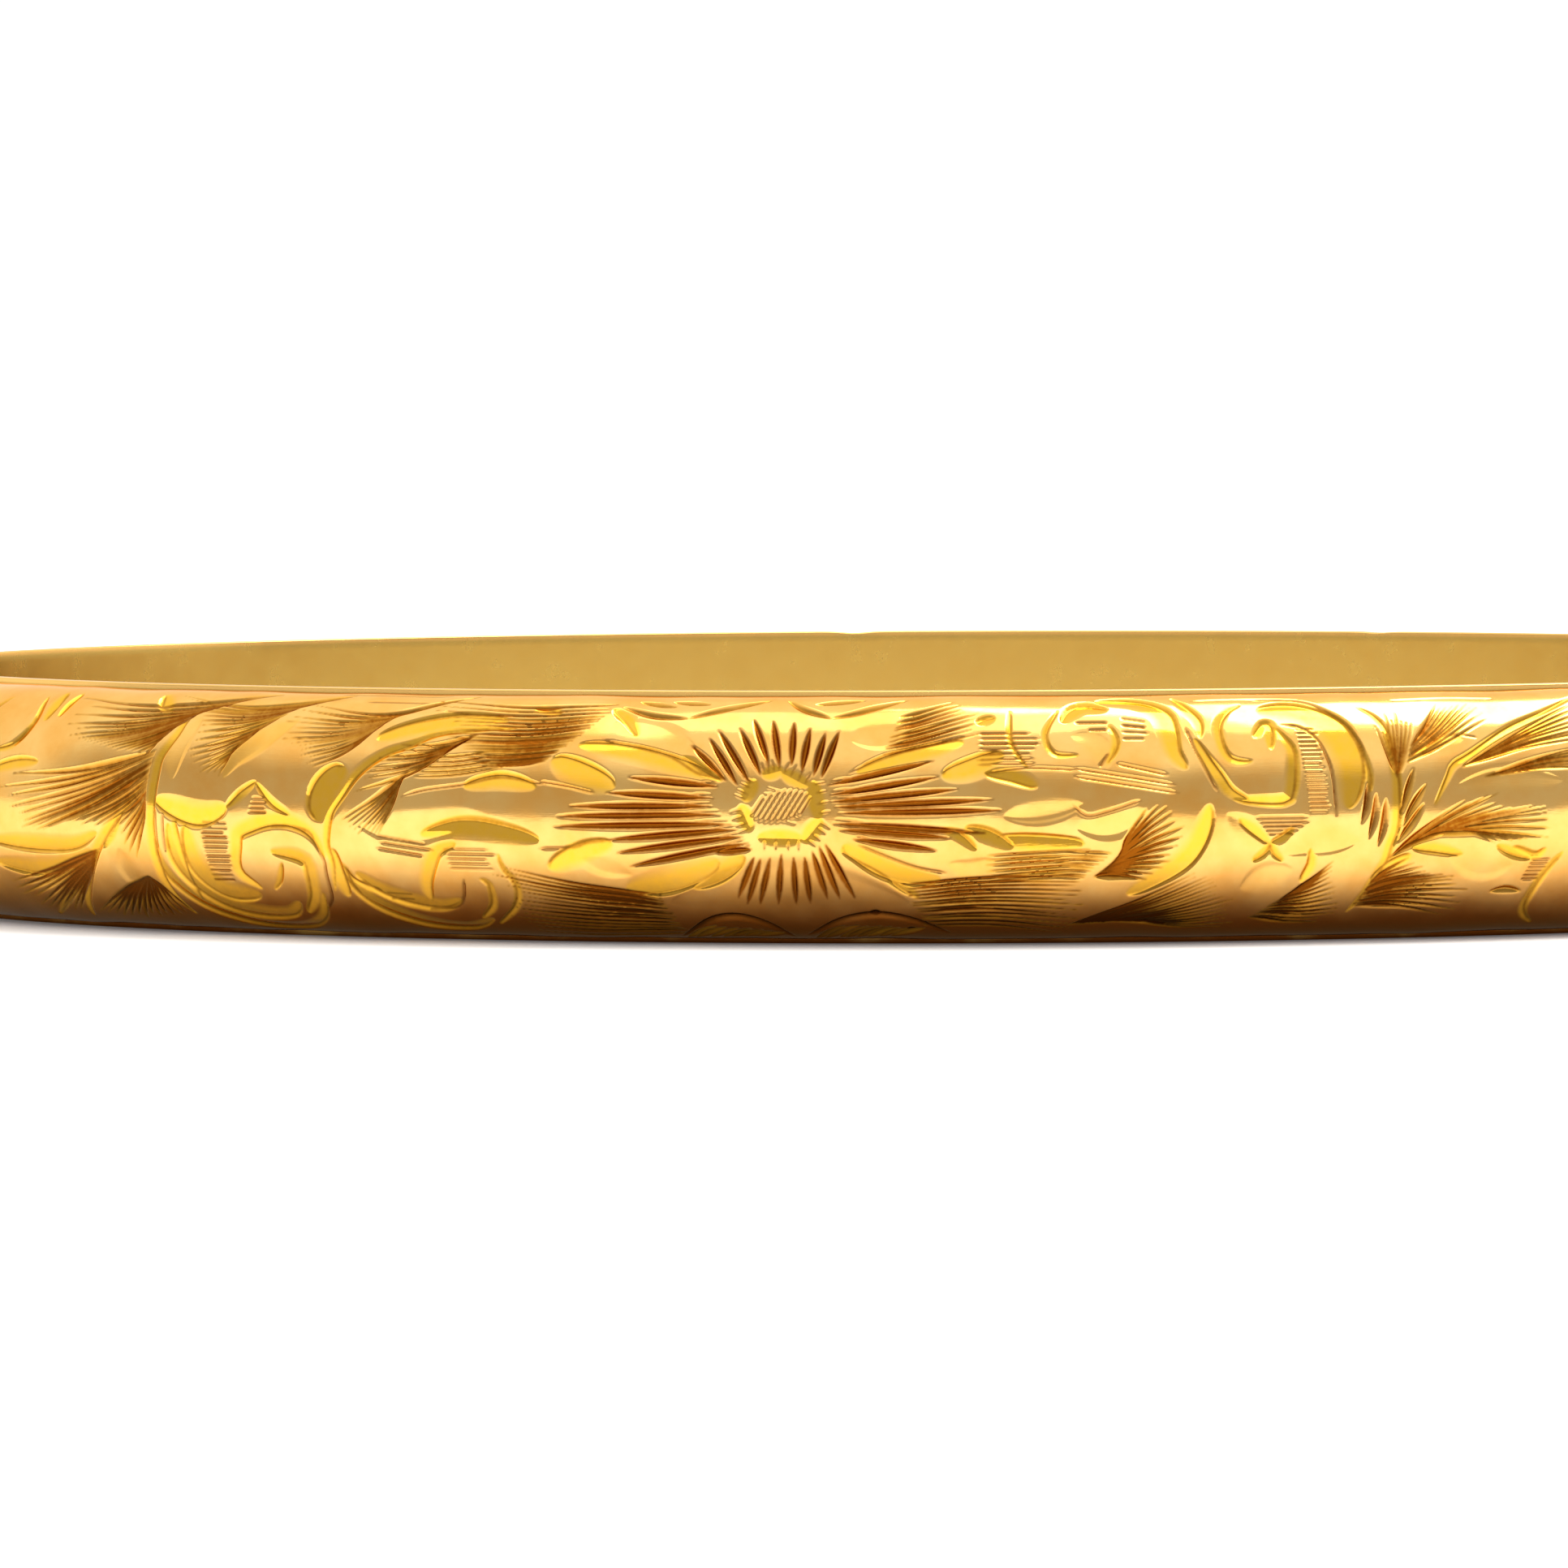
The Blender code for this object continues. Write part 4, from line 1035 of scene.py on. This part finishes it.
def gold(name, rough_low, rough_high, cuts=False, shade_heights=None, lit_rim_heights=None, scratch=0.0006,
         light=GOLD_LIGHT, deep=GOLD_DEEP):
    """Polished gold: patches of slightly different tone, uneven polish and fine scratches. The
    engraved dome gets painted shade down in its V cuts and a painted yellow highlight on its bright
    cuts. Of the two pairs of heights in millimetres, the first is where painted shade browns the piece
    towards the edge that it rests on, and the second where its upper edge is painted clean gold as a
    highlight."""
    nodes = Nodes(bpy.data.materials.new(name))
    nodes.shader.inputs["Metallic"].default_value = 1.0
    nodes.shader.inputs["Specular Tint"].default_value = (*GRAZING_GOLD, 1.0)
    patch = nodes.spread(nodes.noise(TONE_SIZE, 5.0, 0.6), 0.35, 0.65, 0.0, 1.0)
    colour = nodes.mix(patch, light, deep)
    grain = nodes.noise(GRAIN_SIZE, 4.0, 0.6)
    scratches = nodes.noise(SCRATCH_SIZE, 2.0, 0.6, nodes.stretched(SCRATCH_STRETCH))
    rough = nodes.spread(nodes.noise(POLISH_SIZE, 5.0, 0.6), 0.3, 0.7, rough_low, rough_high)
    # Painted shade that browns the piece towards the lower edge that it rests on, with a ragged top.
    if shade_heights:
        uneven = nodes.noise(RAGGED_SIZE, 4.0)
        ragged = nodes.spread(uneven, 0.3, 0.7, -RAGGED_BY * MM, RAGGED_BY * MM)
        height = nodes.math("ADD", nodes.split()["Z"], ragged)
        low, high = shade_heights
        edge_shaded = nodes.spread(height, low * MM, high * MM, EDGE_SHADE_SHARE, 0.0, "SMOOTHSTEP")
        colour = nodes.mix(edge_shaded, colour, EDGE_SHADE_COLOUR)
    # Painted highlight: the upper rim is painted in the lighter gold.
    if lit_rim_heights:
        low, high = lit_rim_heights
        top = nodes.spread(nodes.split()["Z"], low * MM, high * MM, 0.0, 1.0)
        colour = nodes.mix(top, colour, GOLD_LIGHT)
    # Painted shade down in the cuts and a painted yellow highlight on the bright cuts, from two
    # attributes.
    if cuts:
        dark = nodes.add("ShaderNodeAttribute", attribute_name="cut_painted_shade").outputs["Fac"]
        bright = nodes.add("ShaderNodeAttribute", attribute_name="cut_painted_highlight").outputs["Fac"]
        mottled = nodes.spread(nodes.noise(MOTTLE_SIZE, 4.0, 0.65), 0.30, 0.70, 0.75, 1.0)
        kept = nodes.math("SUBTRACT", 1.0, nodes.math("MULTIPLY", edge_shaded, EDGE_SHADE_ON_CUTS))
        highlight_left = nodes.math("MULTIPLY", bright, kept)
        colour = nodes.mix(nodes.math("MULTIPLY", highlight_left, mottled), colour, CUT_HIGHLIGHT_COLOUR)
        shade = nodes.mix(edge_shaded, CUT_SHADE_COLOUR, DEEP_CUT_SHADE_COLOUR)
        colour = nodes.mix(nodes.math("MULTIPLY", dark, mottled), colour, shade)
        rough = nodes.math("SUBTRACT", rough, nodes.math("MULTIPLY", bright, BRIGHT_POLISH))
        rough = nodes.math("ADD", rough, nodes.math("MULTIPLY", dark, DARK_DULLNESS))
    nodes.feed(nodes.shader.inputs["Base Color"], colour)
    nodes.feed(nodes.shader.inputs["Roughness"], rough)
    relief = nodes.math("ADD", nodes.math("MULTIPLY", grain, GRAIN_SHARE), scratches)
    nodes.feed(nodes.shader.inputs["Normal"], nodes.bump(relief, scratch))
    return nodes.owner


ENGRAVED = gold("engraved_gold", 0.10, 0.17, cuts=True, shade_heights=DOME_SHADE_HEIGHTS, scratch=0.0008)
POLISHED = gold("polished_gold", 0.09, 0.16)
BACK_GOLD = gold("back_dome_gold", 0.09, 0.16, shade_heights=DOME_SHADE_HEIGHTS)
SHADED_LINING_GOLD = gold("shaded_lining_gold", 0.24, 0.28, shade_heights=LINING_SHADE_HEIGHTS, lit_rim_heights=LIT_RIM_HEIGHTS,
                   scratch=0.00005, light=SHADED_LINING_LIGHT, deep=SHADED_LINING_DEEP)
JOINT = gold("joint_gold", 0.18, 0.30, scratch=0.0012, light=JOINT_LIGHT, deep=JOINT_DEEP)
SPRING = gold("spring_gold", 0.14, 0.24, scratch=0.0010, light=SPRING_LIGHT, deep=SPRING_DEEP)


def finish_piece(piece, material, slot, *nodes):
    """Gives a piece its material and hides the CAD nodes that it stands for. The slot is not used."""
    piece.data.materials.clear()
    piece.data.materials.append(material)
    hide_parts(*nodes)


# --- The two halves ------------------------------------------------------------------------------


def build_front_dome():
    """The engraved dome, with the painted shade and painted highlight of its cuts as two attributes of its
    points.
    """
    engrave()
    sunk = softened(CUT) + WAVE_DEPTH * wave(COLUMN_S[None, :], ROW_W[:, None])
    piece = dome_sheet("front_dome", "front_half", FRONT, COLUMN_S, ROW_W, sunk, clasp_end)
    for name, field in (("cut_painted_shade", PAINTED_SHADE), ("cut_painted_highlight", PAINTED_HIGHLIGHT)):
        values = np.zeros(len(piece.data.vertices), np.float32)
        values[:field.size] = softened(field).ravel()
        piece.data.attributes.new(name, "FLOAT", "POINT").data.foreach_set("value", values)
    finish_piece(piece, ENGRAVED, "engraved_gold", "front_shell")


def build_back_dome():
    columns = grid_line(CROWN_S[-1], CROWN_S[-1] - END_ZONE, BACK_STEP, BACK_STEP / 2)
    rows = np.linspace(DOME_W[0], DOME_W[-1], int((DOME_W[-1] - DOME_W[0]) / BACK_ACROSS_STEP) | 1)
    sunk = WAVE_DEPTH * wave(columns[None, :] + 40.0, rows[:, None])
    piece = dome_sheet("back_dome", "back_half", BACK, columns, rows, sunk, plain_end)
    finish_piece(piece, BACK_GOLD, "polished_gold", "back_shell")


LINING_STEPS = 420
LINING_ROWS = 24
RIM_DENTS = ((-7.4, 0.5, 0.05), (9.5, 0.4, 0.03), (27.0, 0.5, 0.04))
DENT_REACH = 0.4


def build_lining(name, body, side, node, dents):
    """The flat inner band of one half, its rims rounded, with small knocks in the upper rim.
    Each dent is (distance along the band from its middle, half length, depth)."""
    section = rounded_section(0.0, LINER_WALL, 0.0, WIDTH, LINER_ROUND, 6, LINING_ROWS)
    joint = math.asin(JOINT_HALF_GAP / INNER_B)
    rings = []
    for angle in np.linspace(-math.pi + joint, -joint, LINING_STEPS):
        s = float(np.interp(angle, CROWN_ANGLE, CROWN_S))
        knock = sum(depth * math.exp(-((s - at) / half) ** 2) for at, half, depth in dents)
        ring = []
        for depth, z in section:
            x, y = oval_point(angle, depth)
            top = max(0.0, (z - WIDTH + DENT_REACH) / DENT_REACH)
            ring.append((float(x), float(-side * y), z - knock * top))
        rings.append(ring)
    piece = swept(name, body, rings)
    finish_piece(piece, SHADED_LINING_GOLD, "polished_gold", node)


# --- Hinge and clasp -----------------------------------------------------------------------------

KNUCKLE_ROUND = 0.09
KNUCKLE_BORE = 0.38
ROUND_STEPS = 96


def build_knuckle(node, body):
    """One tube of the hinge, as long as its CAD node, with rounded lips."""
    low, high = (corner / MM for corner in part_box(node))
    centre = (low + high) / 2
    outer = (high.x - low.x) / 2
    section = rounded_section(KNUCKLE_BORE, outer, low.z, high.z, KNUCKLE_ROUND, 5, 1)
    piece = lathe(node + "_tube", body, centre.x, centre.y, section, ROUND_STEPS)
    turn_outwards(piece)
    finish_piece(piece, JOINT, "joint_gold", node)


PIN_SHAFT = 0.35
PIN_DOME = 0.16
PIN_DOME_STEPS = 8
PIN_TIP = 0.02
PIN_UNEVEN = 0.02


def build_pin():
    """The hinge pin, its two ends hammered over into low domes."""
    low, high = (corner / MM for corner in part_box("hinge_pin"))
    centre = (low + high) / 2
    head = (high.x - low.x) / 2
    half = (high.z - low.z) / 2
    outline = [(PIN_SHAFT, half - PIN_DOME)]
    for step in range(PIN_DOME_STEPS + 1):
        angle = 0.5 * math.pi * step / PIN_DOME_STEPS
        radius = max(PIN_TIP, head * math.cos(angle))
        outline.append((radius, half - PIN_DOME + PIN_DOME * math.sin(angle)))
    profile = [(radius, centre.z - z) for radius, z in reversed(outline)]
    profile += [(radius, centre.z + z) for radius, z in outline]
    rings = []
    for radius, z in profile:
        ring = []
        for turn in turns(ROUND_STEPS):
            uneven = 1.0 + PIN_UNEVEN * math.sin(3 * turn + 1.0) * (radius > PIN_SHAFT)
            reach = radius * min(uneven, 1.0)
            ring.append((centre.x + reach * math.cos(turn), centre.y + reach * math.sin(turn), z))
        rings.append(ring)
    piece = swept("hinge_pin_riveted", "front_half", rings)
    finish_piece(piece, JOINT, "joint_gold", "hinge_pin")


PUSH_NECK = 0.84
PUSH_NECK_NEAR = 0.95
PUSH_NECK_FAR = 1.60
NECK_ROUND = 0.12
NECK_STEPS = 6

# The pad: its thickness, and as shares of it where its side starts, how high the side goes and
# how far its crown rises over that. Its section is a little wider halfway up the side.
PUSH_WALL = 0.32
PAD_START = 0.04
PAD_SIDE = 0.66
PAD_TOP = 0.70
PAD_CROWN = 0.30
PAD_EDGE = 0.84
PAD_BULGE = 0.16
PAD_SIDE_STEPS = 24
PAD_CROWN_STEPS = 15
MILLING_PITCH = 0.36
MILLING_DEPTH = 0.05


def build_thumb_push():
    """The push: a rounded neck and an oval pad with a milled grip across it."""
    low, high = (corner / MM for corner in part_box("thumb_push"))
    centre_y = (low.y + high.y) / 2
    half_y = (high.y - low.y) / 2
    half_z = (high.z - low.z) / 2
    pad_low = high.x - PUSH_WALL
    pad_top = pad_low + PAD_TOP * PUSH_WALL
    sections = []
    for share in np.linspace(0.0, 1.0, PAD_SIDE_STEPS):
        edge = math.sqrt(max(0.0, 1.0 - (2.0 * share - 1.0) ** 2))
        x = pad_low + PUSH_WALL * (PAD_START + PAD_SIDE * share)
        sections.append((x, PAD_EDGE + PAD_BULGE * edge))
    for step in range(1, PAD_CROWN_STEPS):
        scale = PAD_EDGE * (1.0 - step / PAD_CROWN_STEPS)
        x = pad_top + PAD_CROWN * PUSH_WALL * (1.0 - (scale / PAD_EDGE) ** 2)
        sections.append((x, scale))
    pad = []
    for x, scale in sections:
        ring = []
        for turn in turns(ROUND_STEPS):
            y = centre_y + half_y * scale * math.cos(turn)
            z = MID_Z + half_z * scale * math.sin(turn)
            ridge = max(0.0, math.cos(math.tau * (z - MID_Z) / MILLING_PITCH))
            ring.append((x - MILLING_DEPTH * ridge * (x > pad_top), y, z))
        pad.append(ring)
    piece = swept("thumb_push_pad", "thumb_spring", pad)
    section = rounded_section(-PUSH_NECK_FAR, -PUSH_NECK_NEAR, MID_Z - PUSH_NECK / 2,
                              MID_Z + PUSH_NECK / 2, NECK_ROUND)
    neck = []
    for x in np.linspace(low.x, pad_low + PUSH_WALL / 2, NECK_STEPS):
        neck.append([(float(x), y, z) for y, z in section])
    stalk = swept("thumb_push_neck", "thumb_spring", neck)
    finish_piece(piece, POLISHED, "polished_gold", "thumb_push")
    finish_piece(stalk, POLISHED, "polished_gold", "thumb_push")


PLAIN_NODES = {
    "front_hinge_plate": JOINT, "back_hinge_plate": JOINT, "front_hinge_bearer": JOINT,
    "back_hinge_bearer": JOINT, "catch_box": JOINT, "front_clasp_plate": POLISHED,
    "back_clasp_plate": POLISHED, "tongue_base": SPRING, "spring_leaf": SPRING,
}


def finish_plain_nodes():
    """The pieces inside the ends keep their CAD shape and get a gold of their own."""
    for name, material in PLAIN_NODES.items():
        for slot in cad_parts[name].material_slots:
            slot.material = material


# --- Studio --------------------------------------------------------------------------------------


FLOOR_REACH = 6.0
FLOOR_RINGS = 24
FLOOR_STEPS = 64
FLOOR_LIGHT = (0.90, 0.90, 0.89)
FLOOR_WHITE = (0.93, 0.93, 0.925)
FLOOR_ROUGHNESS = 0.7
FLOOR_SPECULAR = 0.2
FLOOR_GLOW = 0.08
FLOOR_PATCHES = 40.0


def build_floor():
    """A wide pale floor: a disc of rings in metres, closer together towards the bangle."""
    steps = FLOOR_STEPS
    points = [(0.0, 0.0, 0.0)]
    for ring in range(1, FLOOR_RINGS + 1):
        radius = FLOOR_REACH * (ring / FLOOR_RINGS) ** 2
        points += [(radius * math.cos(turn), radius * math.sin(turn), 0.0) for turn in turns(steps)]
    faces = [(0, 1 + step, 1 + (step + 1) % steps) for step in range(steps)]
    for ring in range(FLOOR_RINGS - 1):
        first = 1 + ring * steps
        for step in range(steps):
            after = (step + 1) % steps
            faces.append((first + step, first + steps + step, first + steps + after, first + after))
    mesh = bpy.data.meshes.new("floor")
    mesh.from_pydata(points, [], faces)
    floor = bpy.data.objects.new("floor", mesh)
    bpy.context.scene.collection.objects.link(floor)
    nodes = Nodes(bpy.data.materials.new("pale_floor"))
    nodes.shader.inputs["Roughness"].default_value = FLOOR_ROUGHNESS
    nodes.shader.inputs["Specular IOR Level"].default_value = FLOOR_SPECULAR
    nodes.shader.inputs["Emission Color"].default_value = (1.0, 1.0, 1.0, 1.0)
    nodes.shader.inputs["Emission Strength"].default_value = FLOOR_GLOW
    tone = nodes.spread(nodes.noise(FLOOR_PATCHES, 2.0), 0.3, 0.7, 0.0, 1.0)
    nodes.feed(nodes.shader.inputs["Base Color"], nodes.mix(tone, FLOOR_LIGHT, FLOOR_WHITE))
    mesh.materials.append(nodes.owner)


SKY_LIGHT = 1.15
SKY_DIM = 0.54
SKY_BACK = 1.05
SKY_LOW = math.sin(math.radians(24))
SKY_HIGH = math.sin(math.radians(46))
BACK_START = -0.22
BACK_FULL = 0.10


def build_world():
    """A white tent: bright from 46 degrees up, dimmer low down on the side that faces the front,
    and plain white as a backdrop."""
    world = bpy.data.worlds.new("tent")
    bpy.context.scene.world = world
    nodes = Nodes(world, "Background", "Generated")
    way = nodes.split()
    height = nodes.spread(way["Z"], SKY_LOW, SKY_HIGH, SKY_DIM, SKY_LIGHT, "SMOOTHSTEP")
    behind = nodes.spread(way["Y"], BACK_START, BACK_FULL, 0.0, SKY_BACK, "SMOOTHSTEP")
    light = nodes.math("MAXIMUM", height, behind)
    seen = nodes.add("ShaderNodeLightPath").outputs["Is Camera Ray"]
    nodes.feed(nodes.shader.inputs["Strength"], nodes.math("MAXIMUM", light, seen))
    nodes.shader.inputs["Color"].default_value = (1.0, 1.0, 1.0, 1.0)


# Each has its name, its place and size in metres, and its power. They face the bangle.
SOFTBOXES = (
    ("overhead_softbox", (0.0, -0.02, 0.55), (0.5, 0.3), 0.45),
    ("right_softbox", (0.17, 0.15, 0.47), (0.34, 0.34), 2.4),
)


def build_softboxes():
    for name, place, size, power in SOFTBOXES:
        data = bpy.data.lights.new(name, "AREA")
        data.shape = "RECTANGLE"
        data.size, data.size_y = size
        data.energy = power
        light = bpy.data.objects.new(name, data)
        light.location = place
        aim = Vector((0.0, 0.0, 0.0)) - Vector(place)
        light.rotation_euler = aim.to_track_quat("-Z", "Y").to_euler()
        bpy.context.scene.collection.objects.link(light)


# The camera's place round the bangle, and how it is turned from looking at the middle.
CAMERA_AZIMUTH = 8.96
CAMERA_DISTANCE = 328.0
CAMERA_HEIGHT = 16.85
CAMERA_TURN = 0.843
CAMERA_DIP = 2.426
CAMERA_ROLL = -0.311
LENS_MM = 276.9
SENSOR_MM = 36.0
CLIP_START = 0.01


def build_camera():
    azimuth = math.radians(CAMERA_AZIMUTH)
    place = Vector((math.sin(azimuth), -math.cos(azimuth), 0.0)) * CAMERA_DISTANCE
    place.z = CAMERA_HEIGHT
    heading = azimuth + math.radians(CAMERA_TURN)
    dip = math.radians(CAMERA_DIP)
    ahead = Vector((-math.sin(heading) * math.cos(dip), math.cos(heading) * math.cos(dip),
                    -math.sin(dip)))
    right = ahead.cross(Vector((0.0, 0.0, 1.0))).normalized()
    up = right.cross(ahead)
    roll = math.radians(CAMERA_ROLL)
    tilted = right * math.cos(roll) + up * math.sin(roll)
    up = tilted.cross(ahead)
    data = bpy.data.cameras.new("camera")
    data.lens = LENS_MM
    data.sensor_width = SENSOR_MM
    data.clip_start = CLIP_START
    camera = bpy.data.objects.new("camera", data)
    turned = Matrix((tilted, up, -ahead)).transposed().to_4x4()
    camera.matrix_world = Matrix.Translation(place * MM) @ turned
    bpy.context.scene.collection.objects.link(camera)
    bpy.context.scene.camera = camera


def main():
    build_camera()
    build_front_dome()
    build_back_dome()
    build_lining("front_lining", "front_half", FRONT, "front_liner", ())
    build_lining("back_lining", "back_half", BACK, "back_liner", RIM_DENTS)
    for node in ("front_knuckle_bottom", "front_knuckle_middle", "front_knuckle_top"):
        build_knuckle(node, "front_half")
    for node in ("back_knuckle_lower", "back_knuckle_upper"):
        build_knuckle(node, "back_half")
    build_pin()
    build_thumb_push()
    finish_plain_nodes()
    build_floor()
    build_world()
    build_softboxes()
    bpy.context.scene.view_settings.view_transform = "Standard"


main()
